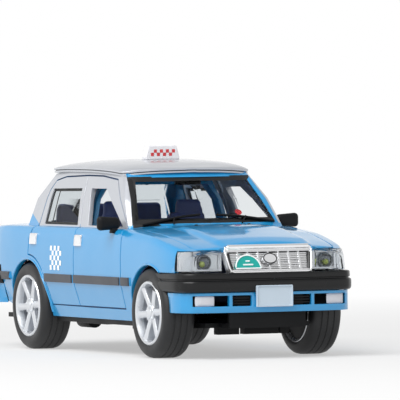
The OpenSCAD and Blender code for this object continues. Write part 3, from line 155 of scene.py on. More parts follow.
def piece(name, bm, mats, body, slot, *stands_for, sharp=35):
    """Turns a mesh into a finished piece that rides on a body."""
    bmesh.ops.recalc_face_normals(bm, faces=bm.faces)
    mesh = bpy.data.meshes.new(name)
    bm.to_mesh(mesh)
    bm.free()
    for mat in mats:
        mesh.materials.append(mat)
    mesh.shade_smooth()
    mesh.set_sharp_from_angle(angle=radians(sharp))
    obj = bpy.data.objects.new(name, mesh)
    bpy.context.scene.collection.objects.link(obj)
    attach(obj, body)
    if stands_for:
        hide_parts(*stands_for)
    return obj


# Soft black PVC, a little dusty: a broad grey sheen on the wall, and none between the tread's bars.
pvc = finish("black_pvc", "#191A1C", 0.5, 0.5, 0.02, uneven=0.2, Specular_IOR_Level=0.5)
WALL = [(8.75, 1.2), (8.95, 0.45), (9.5, 0.2), (10.4, 0.05)]
WALL += [(11.3, 0.15), (12.0, 0.5), (12.45, 1.1), (12.65, 1.9)]
GROOVES = (2.9, 4.8, 6.7)
GROOVE_W, GROOVE_D = 0.3, 0.28
TYRE_W = 9.6
TREAD_STEPS, BAR_D = 144, 0.13
for axle, axle_x, tyre_node in (("front", AXLE_FRONT, "front_tyres"), ("rear", AXLE_REAR, "rear_tyres")):
    tread = []
    for groove in GROOVES:
        tread += [(TYRE_R, groove - GROOVE_W), (TYRE_R - GROOVE_D, groove - GROOVE_W / 2)]
        tread += [(TYRE_R - GROOVE_D, groove + GROOVE_W / 2), (TYRE_R, groove + GROOVE_W)]
    profile = WALL + tread + [(radius, TYRE_W - place) for radius, place in reversed(WALL)]
    bm = bmesh.new()
    lathe(bm, [(r, -p) for r, p in profile], (axle_x, WHEEL_FACE, AXLE_Z), TREAD_STEPS, closed=True)
    for vert in bm.verts:
        x, z = vert.co.x / MM - axle_x, vert.co.z / MM - AXLE_Z
        if x * x + z * z > (TYRE_R - 0.02) ** 2 and round(atan2(z, x) * TREAD_STEPS / tau) % 2:
            vert.co -= Vector((x, 0, z)).normalized() * BAR_D * MM
    mirror_y(bm)
    piece(axle + "_tyre_pair", bm, [pvc], axle + "_wheels", "tyre", tyre_node, sharp=50)

# Rims: ABS, vacuum plated in satin silver. Six crowned spokes stand before a closed dish.
# The middle has a cap in a ring of five nuts, and a bright lip runs round the outside.
# Vacuum plating: satin on the faces, where it mirrors softly. Deep in the dish it is a darker grey: painted
# shade.
satin_plating = finish("satin_silver_plating", "#DDE0E4", 0.3, 0.4, 0.003, Metallic=0.75)
dish_shade_plating = finish("silver_plating_painted_dish_shade", "#9EA2A9", 0.4, 0.4, 0.003, Metallic=0.6)
RIM_R = TYRE_R * 0.715
SPOKES = 6
SPOKE_WALL = 2.4
NUTS, NUT_RING = 5, 1.92
HUB_R = 2.5


def spoke_grid(bm, centre, turn, face):
    """One crowned spoke from the hub to the lip, with its sides down to the dish."""
    grid = bmesh.ops.create_grid(bm, x_segments=10, y_segments=6, size=1)["verts"]
    for vert in grid:
        run, side = (vert.co.x + 1) / 2, vert.co.y
        radius = HUB_R * 0.6 + run * (RIM_R * 0.93 - HUB_R * 0.6)
        half = 1.25 - 1.15 * run + 1.05 * run * run
        depth = 0.95 - 0.55 * run + 0.5 * side * side
        reach = sqrt(max(radius * radius - (half * side) ** 2, 0))
        across = half * side
        x = reach * cos(turn) - across * sin(turn)
        z = reach * sin(turn) + across * cos(turn)
        vert.co = Vector((centre[0] + x, face - depth, centre[2] + z)) * MM
    rim_edges = [e for e in {e for v in grid for e in v.link_edges} if e.is_boundary]
    walls = bmesh.ops.extrude_edge_only(bm, edges=rim_edges)["geom"]
    feet = [g for g in walls if isinstance(g, bmesh.types.BMVert)]
    bmesh.ops.translate(bm, vec=(0, -SPOKE_WALL * MM, 0), verts=feet)


for axle, axle_x, rim_node in (("front", AXLE_FRONT, "front_rims"), ("rear", AXLE_REAR, "rear_rims")):
    centre = (axle_x, WHEEL_FACE, AXLE_Z)
    lip = [(8.95, -1.6), (RIM_R + 0.02, -0.45), (8.85, -0.12), (8.55, -0.05), (8.25, -0.25), (8.1, -0.7)]
    dish = [(7.95, -2.2), (7.75, -3.3), (7.2, -3.65), (5.2, -3.4), (3.2, -3.1), (2.4, -3.0)]
    back = [(2.4, -8.6), (7.6, -8.6), (8.6, -8.4), (8.95, -8.0)]
    bm = bmesh.new()
    lathe(bm, lip + dish + back, centre, 96, closed=True)
    for spoke in range(SPOKES):
        spoke_grid(bm, centre, radians(5) + spoke * tau / SPOKES, WHEEL_FACE)
    hub = [(HUB_R, -3.1), (HUB_R, -0.85), (2.35, -0.7), (1.5, -0.62)]
    cap = [(1.42, -0.8), (1.3, -0.45), (0.8, -0.3), (0, -0.26)]
    lathe(bm, hub + cap, centre, 40)
    for nut in range(NUTS):
        turn = radians(20) + nut * tau / NUTS
        seat = (axle_x + NUT_RING * cos(turn), WHEEL_FACE, AXLE_Z + NUT_RING * sin(turn))
        lathe(bm, [(0.34, -0.8), (0.34, -0.48), (0.22, -0.4), (0, -0.38)], seat, 12)
    # Faces deep in the dish take the darker grey as painted shade; the rim's back is black ABS.
    for face in bm.faces:
        place = face.calc_center_median() / MM - Vector(centre)
        deep = place.y < -2.6 and sqrt(place.x**2 + place.z**2) < RIM_R * 0.94
        face.material_index = (2 if place.y < -4 else 1) if deep else 0
    inner_lip = [(8.3, -8.5), (8.75, -9.3), (9.1, -9.5), (9.3, -9.25), (9.0, -8.5)]
    lathe(bm, inner_lip, centre, 96, closed=True)
    mirror_y(bm)
    tones = [satin_plating, dish_shade_plating, black_abs]
    piece(axle + "_rim_pair", bm, tones, axle + "_wheels", "plated_plastic", rim_node)

# Wheel wells: thin black ABS shells that close the arches over the wheels and keep them dark.
# They are moulded in one with the tub's floor.
WELL_R = TYRE_R + 0.72
WELL_WALL = 0.25
WELL_OUT, WELL_IN = WHEEL_FACE - 2, WHEEL_FACE - 10.6
bm = bmesh.new()
for axle_x in (AXLE_REAR, AXLE_FRONT):
    shell = [(WELL_R, WELL_OUT), (WELL_R, WELL_IN + 0.6), (WELL_R - 0.6, WELL_IN), (3, WELL_IN)]
    lathe(bm, shell, (axle_x, 0, AXLE_Z), 40, spoke=(-1, 0, 0), angle=tau / 2)
bmesh.ops.recalc_face_normals(bm, faces=bm.faces)
bmesh.ops.solidify(bm, geom=bm.faces[:], thickness=-WELL_WALL * MM)
mirror_y(bm)
piece("wheel_wells", bm, [black_abs], "car", "black_plastic")

# Cabin tub, linings and dashboard: dark blue-grey ABS mouldings that drop into the casting from below.
# The seats and the bench are mouldings of a deeper blue, glued to the tub.
# Blue-grey ABS with a fine grain: dull, so that the cabin stays calm behind the glass.
cabin_abs = finish("blue_grey_abs", "#4A5474", 0.55, 0.4, 0.008)
dress(cabin_abs, "cabin_plastic", "interior_tub", "engine_bay", "dashboard", edge=0.1)
cards = ("front_left_card", "front_right_card", "rear_left_card", "rear_right_card")
dress(cabin_abs, "cabin_plastic", *cards)
# Navy ABS with a leather grain: its soft sheen shows the padding's round edges.
seat_abs = finish("navy_seat_abs", "#55649A", 0.5, 0.9, 0.02)
dress(seat_abs, "seat_plastic", "front_seats", "rear_bench", edge=0.5)
dress(black_abs, "black_plastic", "steering_wheel", "interior_mirror", edge=0.12)


def cushion(bm, low, high, taper, bevel):
    """A padded block between two corners, narrower towards its top."""
    low, high = Vector(low) * MM, Vector(high) * MM
    made = bmesh.ops.create_cube(bm, size=1)["verts"]
    bmesh.ops.scale(bm, vec=high - low, verts=made)
    bmesh.ops.scale(bm, vec=(taper, taper, 1), verts=[v for v in made if v.co.z > 0])
    bmesh.ops.translate(bm, vec=(low + high) / 2, verts=made)
    edges = list({e for v in made for e in v.link_edges})
    bmesh.ops.bevel(bm, geom=edges, offset=bevel * MM, segments=4, profile=0.5, affect="EDGES", material=-1)


# Seat tops: the head restraints of the seats and the upper bench, padded in shape.
# Each is one moulding with the seat below it.
seat_low, seat_high = (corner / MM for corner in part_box("front_seats"))
bench_low, bench_high = (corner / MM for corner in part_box("rear_bench"))
bm = bmesh.new()
for side in (-1, 1):
    middle, x, z = side * seat_high.y * 0.58, seat_low.x, seat_high.z
    cushion(bm, (x + 0.4, middle - 6.4, z - 5), (x + 3.6, middle + 6.4, z + 1.4), 0.86, 1.1)
    middle += side
    cushion(bm, (x + 0.6, middle - 4.4, z - 1), (x + 3.2, middle + 4.4, z + 5), 0.88, 1.0)
    middle, x, z = side * bench_high.y * 0.52, bench_low.x, bench_high.z
    cushion(bm, (x + 0.3, middle - 8.2, z - 3), (x + 3.4, middle + 8.2, z + 6.6), 0.93, 1.2)
piece("seat_tops", bm, [seat_abs], "car", "seat_plastic")

# Body: one zinc casting under sky-blue enamel. Its sills, wings, pillars and tail are one piece.
# The pillars and the roof rail are sprayed silver over a mask. The skin's true curve is in its shading.
SILL_Z, BELT_Z, EAVE_Z = 10, 36, 52
HALF_W = 27.2
TAIL, NOSE = 32.5, 26.5


def along(t):
    """Length shares: 0 at the rear axle, 1 at the front axle, beyond them as shares of the overhangs."""
    if t < 0:
        return AXLE_REAR + TAIL * t
    return AXLE_REAR + (AXLE_FRONT - AXLE_REAR) * min(t, 1) + NOSE * max(0, t - 1)


def up(s):
    """Height shares: 0 at the sill, 1 at the belt, 2 at the eave."""
    return SILL_Z + (BELT_Z - SILL_Z) * min(s, 1) + (EAVE_Z - BELT_Z) * max(0, s - 1)


def smooth(table, x):
    """A row of a table at place x, on a smooth run through the rows that never overshoots."""
    i = max(0, min(len(table) - 2, sum(row[0] <= x for row in table) - 1))
    low, high = table[i], table[i + 1]
    before, after = table[max(0, i - 1)], table[min(len(table) - 1, i + 2)]
    gap = high[0] - low[0]
    f = min(1, max(0, (x - low[0]) / gap))
    row = []
    for k in range(1, len(low)):
        here = (high[k] - low[k]) / gap
        last = (low[k] - before[k]) / (low[0] - before[0]) if i else here
        then = (after[k] - high[k]) / (after[0] - high[0]) if after is not high else here
        start = 2 * last * here / (last + here) if last * here > 0 else 0
        end = 2 * here * then / (here + then) if here * then > 0 else 0
        bend = (2 * f**3 - 3 * f**2 + 1) * low[k] + (3 * f**2 - 2 * f**3) * high[k]
        row.append(bend + gap * ((f**3 - 2 * f**2 + f) * start + (f**3 - f**2) * end))
    return row


STATION_SHARES = [
    (-0.95, 0.88, 0.15, 0.93, 0.97),
    (-0.92, 0.925, 0.15, 0.972, 1.005),
    (-0.83, 0.965, 0.15, 0.99, 1.028),
    (-0.6, 0.99, 0.12, 0.998, 1.04),
    (-0.3, 1, 0, 1, 1.045),
    (0.4, 1, 0, 1, 1.045),
    (0.8, 1, 0, 0.996, 1.045),
    (0.9, 1, 0, 0.968, 1.02),
    (1.0, 1, 0.05, 0.935, 0.992),
    (1.3, 0.992, 0.15, 0.88, 0.945),
    (1.55, 0.97, 0.15, 0.83, 0.905),
    (1.72, 0.925, 0.15, 0.79, 0.875),
    (1.8, 0.885, 0.15, 0.772, 0.855),
    (1.85, 0.845, 0.15, 0.745, 0.825),
]
STATIONS = [(along(row[0]), *row[1:]) for row in STATION_SHARES]
LEAN_SHARES = [(0, 0.095), (0.127, 0.062), (0.385, 0.0055), (0.5, 0)]
LEAN_SHARES += [(0.7, 0.002), (0.88, 0.0165), (0.97, 0.037), (1, 0.07)]
CROWN_SHARES = (0.8, 0.5, 0.2, 0)


def section(x):
    """The left half of the lower body across x, from the sill up the side and over to the middle."""
    half, *heights = smooth(STATIONS, x)
    low, shoulder, crown = (SILL_Z + (BELT_Z - SILL_Z) * share for share in heights)
    edge = HALF_W * (half - LEAN_SHARES[-1][1])
    side = [(HALF_W * (half - lean), low + rise * (shoulder - low)) for rise, lean in LEAN_SHARES]
    return side + [(share * edge, crown - (crown - shoulder) * share**2) for share in CROWN_SHARES]


def through(points, p):
    """The place at index p on a smooth curve through the points."""
    i = max(0, min(int(p), len(points) - 2))
    f = p - i
    a, b, c, d = (points[max(0, min(len(points) - 1, i + k))] for k in (-1, 0, 1, 2))
    place = []
    for o, q, r, s in zip(a, b, c, d):
        bend = (2 * o - 5 * q + 4 * r - s) * f**2 + (3 * q - o - 3 * r + s) * f**3
        place.append((2 * q + (r - o) * f + bend) / 2)
    return place


def nearest(points, y, z):
    """Distance from a place to a run of points, and the index along them."""
    best = (1e9, 0)
    for i, (a, b) in enumerate(zip(points, points[1:])):
        dy, dz = b[0] - a[0], b[1] - a[1]
        f = min(1, max(0, ((y - a[0]) * dy + (z - a[1]) * dz) / (dy * dy + dz * dz)))
        best = min(best, (sqrt((a[0] + f * dy - y) ** 2 + (a[1] + f * dz - z) ** 2), i + f))
    return best


FOOT_SHARES = [(0, 0.905), (0.312, 0.925), (0.714, 0.93), (1, 0.905)]
HEAD_SHARES = [(0, 0.725), (0.294, 0.735), (0.588, 0.735), (1, 0.715)]
FOOT_ENDS, HEAD_ENDS = (-0.21, 0.785), (0.06, 0.604)
FOOT_Z = up(0.92)
CABIN_SWELL = 0.048


def cabin_side(x, z):
    """Half width of the cabin at a place on its side."""
    v = (z - FOOT_Z) / (EAVE_Z - FOOT_Z)
    rear, front = (along(f + (h - f) * v) for f, h in zip(FOOT_ENDS, HEAD_ENDS))
    q = (x - rear) / (front - rear)
    foot, head = smooth(FOOT_SHARES, q)[0], smooth(HEAD_SHARES, q)[0]
    return HALF_W * (foot * (1 - v) + head * v + CABIN_SWELL * v * (1 - v))


STEP = 0.4


def body_normal(co):
    """Distance of a place, in mm, from the lower body's skin, and the skin's normal there."""
    away, p = nearest(section(co.x), abs(co.y), co.z)
    before, here, beyond = (section(co.x + step) for step in (-STEP, 0, STEP))
    back, fore = through(before, p), through(beyond, p)
    low, high = through(here, p - 0.1), through(here, p + 0.1)
    run = Vector((2 * STEP, fore[0] - back[0], fore[1] - back[1]))
    normal = run.cross(Vector((0, high[0] - low[0], high[1] - low[1]))).normalized()
    if normal.y * here[0][0] + normal.z * (co.z - SILL_Z) < 0:
        normal.negate()
    if co.y < 0:
        normal.y = -normal.y
    return away, normal


def cabin_normal(co):
    """Distance of a place from the cabin's side, and the side's normal there."""
    y = cabin_side(co.x, co.z)
    slope_x = (cabin_side(co.x + STEP, co.z) - cabin_side(co.x - STEP, co.z)) / (2 * STEP)
    slope_z = (cabin_side(co.x, co.z + STEP) - cabin_side(co.x, co.z - STEP)) / (2 * STEP)
    side = -1 if co.y < 0 else 1
    return abs(abs(co.y) - y), Vector((-slope_x, side, -slope_z)).normalized()


LEVEL_RISE, LEVEL_RUN = 1.5, 7
SKIN_NEAR, SKIN_FACING = 0.5, 0.8
SHORT_EDGE = 0.3
LEVELS = [((0, 0, SILL_Z + LEVEL_RISE * level), (0, 0, 1)) for level in range(1, 28)]
LEVELS += [((AXLE_REAR - TAIL + LEVEL_RUN * station, 0, 0), (1, 0, 0)) for station in range(1, 21)]


def casting(name, node, mats, choose, body, edge=0.1, cuts=()):
    """A copy of a cast CAD node with merged faces, rounded edges and the true curve in its shading."""
    bm = bmesh.new()
    bm.from_mesh(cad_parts[node].data)
    bmesh.ops.remove_doubles(bm, verts=bm.verts, dist=0.002 * MM)
    bmesh.ops.dissolve_limit(bm, angle_limit=radians(0.3), verts=bm.verts, edges=bm.edges)
    edges = [e for e in bm.edges if len(e.link_faces) == 2 and e.calc_length() > SHORT_EDGE * MM]
    corners = [e for e in edges if e.calc_face_angle() > radians(38)]
    round_off = {"offset": edge * MM, "segments": 2, "profile": 0.5, "affect": "EDGES", "material": -1}
    bmesh.ops.bevel(bm, geom=corners, clamp_overlap=False, **round_off)
    for spot, normal in [*LEVELS, *cuts]:
        whole = bm.verts[:] + bm.edges[:] + bm.faces[:]
        bmesh.ops.bisect_plane(bm, geom=whole, plane_co=Vector(spot) * MM, plane_no=normal)
    bmesh.ops.recalc_face_normals(bm, faces=bm.faces)
    bm.verts.index_update()
    normals, known = [], {}
    for face in bm.faces:
        middle = face.calc_center_median() / MM
        away, rule = min([(body_normal(middle)[0], 0), (cabin_normal(middle)[0], 1)])
        facing = (body_normal, cabin_normal)[rule]
        skin = away < SKIN_NEAR and facing(middle)[1].dot(face.normal) > SKIN_FACING
        face.material_index = choose(middle, face.normal)
        for vert in face.verts:
            if skin and (vert.index, rule) not in known:
                known[vert.index, rule] = facing(vert.co / MM)[1]
            normals.append(known[vert.index, rule] if skin else Vector())
    mesh = bpy.data.meshes.new(name)
    bm.to_mesh(mesh)
    bm.free()
    for mat in mats:
        mesh.materials.append(mat)
    mesh.shade_smooth()
    mesh.set_sharp_from_angle(angle=radians(35))
    mesh.normals_split_custom_set(normals)
    obj = bpy.data.objects.new(name, mesh)
    bpy.context.scene.collection.objects.link(obj)
    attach(obj, body)
    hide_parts(node)
    return obj


# Sky-blue gloss enamel: a deep colour under clear, long reflections, with a faint orange peel.
gloss = {"Coat_Weight": 1.0, "Coat_Roughness": 0.04}
blue_enamel = finish("sky_blue_enamel", "#1690CB", 0.32, 0.8, 0.0003, **gloss)
# Silver enamel with fine flakes: paler where it faces the light, and a softer gloss than the blue.
flake = {"Metallic": 0.45, "Coat_Weight": 0.6, "Coat_Roughness": 0.06}
silver_enamel = finish("silver_enamel", "#BDC0C6", 0.34, 0.12, 0.0005, **flake)
# Grey ABS of the rub strips: flat and even beside the gloss.
strip_abs = finish("grey_strip_abs", "#43454A", 0.5, 0.4, 0.005)
# Black pad print: a thin half-gloss film with a crisp edge.
# The same black is also painted shade in the roof's groove and down the grille's sides.
black_print_and_shade = finish("black_print_and_shade", "#101113", 0.35, 0.3, 0.001)
STRIP_LOW, STRIP_HIGH = up(0.36), up(0.5)
PROUD = 0.12
SILVER_Z = BELT_Z + 0.6
RAIL_W = 0.9
PILLAR_W, FRAME_W = 0.8, 7.0
PILLAR_SPOT = (0, PILLAR_W - HALF_W * FOOT_SHARES[-1][1], FOOT_Z)
PILLAR_SLOPE = (0, -1, HALF_W * (FOOT_SHARES[-1][1] - HEAD_SHARES[-1][1]) / (EAVE_Z - FOOT_Z))
MASK_SPOT, MASK_SLOPE = (along(0.03), 0, SILVER_Z), (0.42, 0, 1)


def side_at(x, z):
    """Half width of the lower body at a place on its side."""
    half = section(x)[: len(LEAN_SHARES)]
    return through(half, nearest(half, HALF_W, z)[1])[0]


def stands_out(middle):
    """True on a strip or a handle, which stand out from the side."""
    return abs(middle.y) > side_at(middle.x, middle.z) + PROUD


def body_paint(middle, normal):
    """Silver on the pillars and rails, grey strips, a black line beside the screen, blue elsewhere."""
    if STRIP_LOW < middle.z < STRIP_HIGH and stands_out(middle):
        return 2
    above = (middle - Vector(MASK_SPOT)).dot(MASK_SLOPE) > 0
    inside = cabin_side(middle.x, middle.z) - abs(middle.y)
    silver = inside < RAIL_W and abs(normal.y) > 0.35
    if middle.x > along(0.5) and middle.y < 0 and normal.x > 0.2:
        silver = (Vector(PILLAR_SPOT) - middle).dot(PILLAR_SLOPE) < 0
        if not silver and inside < FRAME_W and SILVER_Z < middle.z < EAVE_Z - 1:
            return 3
    return 1 if silver and above and middle.z > SILVER_Z else 0


body_paints = [blue_enamel, silver_enamel, strip_abs, black_print_and_shade]
body_cuts = [(MASK_SPOT, MASK_SLOPE), (PILLAR_SPOT, PILLAR_SLOPE)]
casting("painted_body", "body_shell", body_paints, body_paint, "car", cuts=body_cuts)


def tube(bm, points, radius, closed=False, sides=10):
    """A round bar through the points, in mm."""
    spots = [Vector(point) for point in points]
    rings = []
    for i, spot in enumerate(spots):
        ahead = spots[(i + 1) % len(spots)] if closed or i + 1 < len(spots) else spot
        behind = spots[i - 1] if closed or i else spot
        turn = (ahead - behind).to_track_quat("Z", "Y").to_matrix().to_4x4()
        place = Matrix.Translation(spot * MM) @ turn
        ring = bmesh.ops.create_circle(bm, segments=sides, radius=radius * MM, matrix=place)["verts"]
        rings.append(list({e for v in ring for e in v.link_edges}))
    for near, far in list(zip(rings, rings[1:])) + ([(rings[-1], rings[0])] if closed else []):
        bmesh.ops.bridge_loops(bm, edges=near + far)
    if not closed:
        bmesh.ops.edgeloop_fill(bm, edges=rings[0])
        bmesh.ops.edgeloop_fill(bm, edges=rings[-1])


# Wheel arch lips: a rolled edge round each arch, cast in one with the body and painted with it.
# It stands out by a quarter of a millimetre and catches a thin line of light.
ARCH_R = 13.78
LIP_R = 0.34
bm = bmesh.new()
for axle_x, first in ((AXLE_FRONT, 58), (AXLE_REAR, -6)):
    places = []
    for degree in range(first, 190, 4):
        x, z = axle_x + ARCH_R * cos(radians(degree)), AXLE_Z + ARCH_R * sin(radians(degree))
        places.append((x, side_at(x, z) - 0.12, z))
    tube(bm, places, LIP_R)
mirror_y(bm)
piece("arch_lips", bm, [blue_enamel], "car", "blue_paint")

# Doors: four zinc castings on steel pins, blue below the belt and silver round the windows.
# Plated handles stand on them, and dark grey rub strips run along them.
# Bright vacuum plating: nearly white, with the surroundings mirrored a little softly.
plating = finish("bright_plating", "#F3F4F6", 0.24, 0.5, 0.002, Metallic=0.85)
FRAME_FOOT, HANDLE_LOW = BELT_Z + 0.3, up(0.75)


def door_paint(middle, normal):
    """Blue skin, silver window frame, plated handle and grey strip, in that order."""
    if middle.z > FRAME_FOOT:
        return 1
    if stands_out(middle) and middle.z > HANDLE_LOW:
        return 2
    return 3 if stands_out(middle) and STRIP_LOW < middle.z < STRIP_HIGH else 0


for door in ("front_left", "front_right", "rear_left", "rear_right"):
    paints = [blue_enamel, silver_enamel, plating, strip_abs]
    casting(door + "_painted_door", door + "_door", paints, door_paint, door + "_door_body")

# Door shut lines: the gaps round the doors.
# A thin bead lies deep in each gap and closes it to the eye.
# Its dull dark blue is painted shade: it stands in for the shadow deep in the gap.
gap_shade_blue = finish("painted_gap_shade_blue", "#0A3F6B", 0.6, 0.5, 0.002)
DOOR_LINES = [
    [(0.172, 0.13), (0.3, 0.13), (0.405, 0.13), (0.6, 0.13), (0.779, 0.13), (0.779, 0.6), (0.776, 0.96)],
    [(0.7402, 1.125), (0.586, 1.865), (0.47, 1.925), (0.352, 1.93)]
    + [(0.17, 1.9), (0.09, 1.83), (0.0625, 1.65), (0.0355, 1.09)],
    [(0.352, 1.93), (0.3845, 1.09)],
    [(0.389, 0.96), (0.39, 0.7), (0.391, 0.35), (0.405, 0.13)],
    [(0.021, 0.96), (0.004, 0.85)],
]
DOOR_ARCH_R = 15.0
SHADE_BEAD_IN, SHADE_BEAD_R = 0.5, 0.2
gap_shade_lines = [[(along(t), up(s)) for t, s in line] for line in DOOR_LINES]
turns = [radians(degree) for degree in range(2, 90, 6)]
gap_shade_lines.append([(AXLE_REAR + DOOR_ARCH_R * cos(a), AXLE_Z + DOOR_ARCH_R * sin(a)) for a in turns])
bm = bmesh.new()
for places in gap_shade_lines:
    run = []
    for a, b in zip(places, places[1:]):
        cuts = max(1, round(sqrt((a[0] - b[0]) ** 2 + (a[1] - b[1]) ** 2) / 2))
        run += [(a[0] + (b[0] - a[0]) * k / cuts, a[1] + (b[1] - a[1]) * k / cuts) for k in range(cuts)]
    skin = side_at if places[0][1] < BELT_Z else cabin_side
    tube(bm, [(x, skin(x, z) - SHADE_BEAD_IN, z) for x, z in run + places[-1:]], SHADE_BEAD_R, sides=6)
mirror_y(bm)
piece("door_gap_shade_beads", bm, [gap_shade_blue], "car", "blue_paint")

# Panes: clear styrene sheets, glued into the screens and the rear doors from inside.
# A black line is printed round the panes of the rear doors, with a thin quarter-light bar.
# Clear styrene: nearly unseen, with a weak reflection at a flat angle.
clear_styrene = finish("clear_styrene", "#E4E8EA", 0.03, 2, 0.0005, Transmission_Weight=1.0, IOR=1.1)
panes = ("windscreen", "rear_window", "rear_left_glass", "rear_right_glass")
dress(clear_styrene, "clear_plastic", *panes, edge=0.02)


def border(bm, columns, rows, wide, high):
    """A grid in 0..1 whose outermost cells are a border that wide and high; the middle is left out."""
    grid = bmesh.ops.create_grid(bm, x_segments=columns, y_segments=rows, size=0.5)["verts"]
    for vert in grid:
        for axis, cells, share in ((0, columns, wide), (1, rows, high)):
            place = round((vert.co[axis] + 0.5) * cells)
            inner = share + (1 - 2 * share) * (place - 1) / (cells - 2)
            vert.co[axis] = 0 if place == 0 else 1 if place == cells else inner
    middles = [(face, face.calc_center_median()) for face in bm.faces]
    inside = [f for f, at in middles if wide < at.x < 1 - wide and high < at.y < 1 - high]
    bmesh.ops.delete(bm, geom=inside, context="FACES")
    return grid


REAR_PANE = [(0.078, 1.04), (0.362, 1.04), (0.333, 1.7), (0.09, 1.68)]
PANE_IN, FILM = 0.55, 0.12
BAR_AT, BAR_W = 0.2, 0.03
for side, word in ((1, "left"), (-1, "right")):
    bm = bmesh.new()
    border(bm, 14, 10, 0.045, 0.07)
    bar = bmesh.ops.create_grid(bm, x_segments=2, y_segments=8, size=0.5)["verts"]
    for vert in bar:
        vert.co = (BAR_AT + vert.co.x * BAR_W, vert.co.y + 0.5, 0)
    for vert in bm.verts:
        u, v = vert.co.x, vert.co.y
        columns = zip(*[(along(t), up(s)) for t, s in REAR_PANE])
        x, z = ((p * (1 - u) + q * u) * (1 - v) + (s * (1 - u) + r * u) * v for p, q, r, s in columns)
        vert.co = Vector((x, side * (cabin_side(x, z) - PANE_IN), z)) * MM
    bmesh.ops.solidify(bm, geom=bm.faces[:], thickness=FILM * MM)
    door_body = "rear_" + word + "_door_body"
    piece("rear_" + word + "_pane_border", bm, [black_print_and_shade], door_body, "black_plastic")

# Door prints: white chequers in five rows on each rear door, pad printed over the enamel.
# The ink is built up by a few hundredths of a millimetre.
# White ink: an even, half-gloss white that covers the blue.
white_print = finish("white_print", "#F3F4F5", 0.35, 0.3, 0.001)
CHECK = 1.4
CHECK_ROWS, CHECK_COLUMNS = 5, 6
PRINT_X, PRINT_Z = along(0.194), up(0.52)
INK_OUT, INK = 0.06, 0.04
for side, word in ((1, "left"), (-1, "right")):
    bm = bmesh.new()
    for row in range(CHECK_ROWS):
        for column in range(row % 2, CHECK_COLUMNS, 2):
            tile = bmesh.ops.create_grid(bm, x_segments=2, y_segments=2, size=CHECK / 2)["verts"]
            for vert in tile:
                x = PRINT_X + (column + 0.5) * CHECK + vert.co.x
                z = PRINT_Z + (row + 0.5) * CHECK + vert.co.y
                vert.co = Vector((x, side * (side_at(x, z) + INK_OUT), z)) * MM
    bmesh.ops.solidify(bm, geom=bm.faces[:], thickness=INK * MM)
    door_body = "rear_" + word + "_door_body"
    piece("rear_" + word + "_door_print", bm, [white_print], door_body, "white_plastic")

# Bonnet: a thin zinc casting on two swing arms, blue. Two shallow creases run along it.
# Its front edge turns down over the grille.
BONNET_REAR, BONNET_FRONT = along(0.863), along(1.83)
BONNET_SHARES = [(BONNET_REAR, 0.805), (along(0.872), 0.826), (along(1.66), 0.795)]
BONNET_SHARES += [(along(1.74), 0.775), (along(1.84), 0.72)]
CREASE_SHARES = [(0, 1), (0.6, 1), (0.63, 0.75), (0.66, 0.12), (0.68, 0), (1, 0)]
CREASE_H, CREASE_IN, CREASE_OUT = 0.8, 6, 5
BONNET_T, BONNET_EDGE = 1.1, 0.18
LIP_Z, GRILLE_LIP_Z = up(0.79), up(0.835)
GRILLE_HALF = 14
EDGE_SHARES = [(0, 67.7), (0.63, 67.8), (0.68, 68.6), (0.85, 67.8), (1, 66.0)]


def bonnet_top(x, y):
    """Height of the bonnet, with its raised middle."""
    top = section(x)[len(LEAN_SHARES) - 1 :]
    p = nearest([(q[0], 0) for q in top], abs(y), 0)[1]
    share = abs(y) / (smooth(BONNET_SHARES, x)[0] * HALF_W)
    rise = CREASE_H * smooth(CREASE_SHARES, min(share, 1))[0] * min(1, (x - BONNET_REAR) / CREASE_IN)
    return through(top, p)[1] + rise * min(1, max(0, (BONNET_FRONT - x) / CREASE_OUT))


bm = bmesh.new()
grid = bmesh.ops.create_grid(bm, x_segments=48, y_segments=56, size=1)["verts"]
TOP_RUN = 0.93
for vert in grid:
    run, side = (vert.co.x + 1) / 2, vert.co.y
    top = min(run / TOP_RUN, 1)
    x = BONNET_REAR + (smooth(EDGE_SHARES, abs(side))[0] - BONNET_REAR) * top
    y = side * smooth(BONNET_SHARES, x)[0] * HALF_W
    z = max(bonnet_top(x, y) - 0.02, LIP_Z + 0.25)
    drop = max(0, run - TOP_RUN) / (1 - TOP_RUN)
    beside = min(1, max(0, (abs(y) - GRILLE_HALF) / 0.7))
    lip = min(z, GRILLE_LIP_Z + (LIP_Z - GRILLE_LIP_Z) * beside)
    vert.co = Vector((x + 0.4 * sin(drop * tau / 4), y, z + (lip - z) * drop)) * MM
bmesh.ops.recalc_face_normals(bm, faces=bm.faces)
bmesh.ops.solidify(bm, geom=bm.faces[:], thickness=BONNET_T * MM)
rim = [e for e in bm.edges if len(e.link_faces) == 2 and e.calc_face_angle() > radians(50)]
turned = {"segments": 3, "profile": 0.5, "affect": "EDGES", "material": -1}
bmesh.ops.bevel(bm, geom=rim, offset=BONNET_EDGE * MM, **turned)
piece("painted_bonnet", bm, [blue_enamel], "bonnet_body", "blue_paint", "bonnet", sharp=40)
dress(black_abs, "black_plastic", "bonnet_hinges", "boot_hinges")

# Bonnet shut lines: the gaps between the bonnet and the wings, closed to the eye like those of the doors.
# The bead of painted shade lies on the casting's ledge under the bonnet's edge.
SHUT_START, SHUT_END = BONNET_REAR + 1.5, 66.2
bm = bmesh.new()
run = [SHUT_START + (SHUT_END - SHUT_START) * step / 16 for step in range(17)]
edge = [(x, smooth(BONNET_SHARES, x)[0] * HALF_W + 0.2) for x in run]
tube(bm, [(x, y, bonnet_top(x, y) - SHADE_BEAD_IN) for x, y in edge], SHADE_BEAD_R, sides=6)
mirror_y(bm)
piece("bonnet_gap_shade_beads", bm, [gap_shade_blue], "car", "blue_paint")

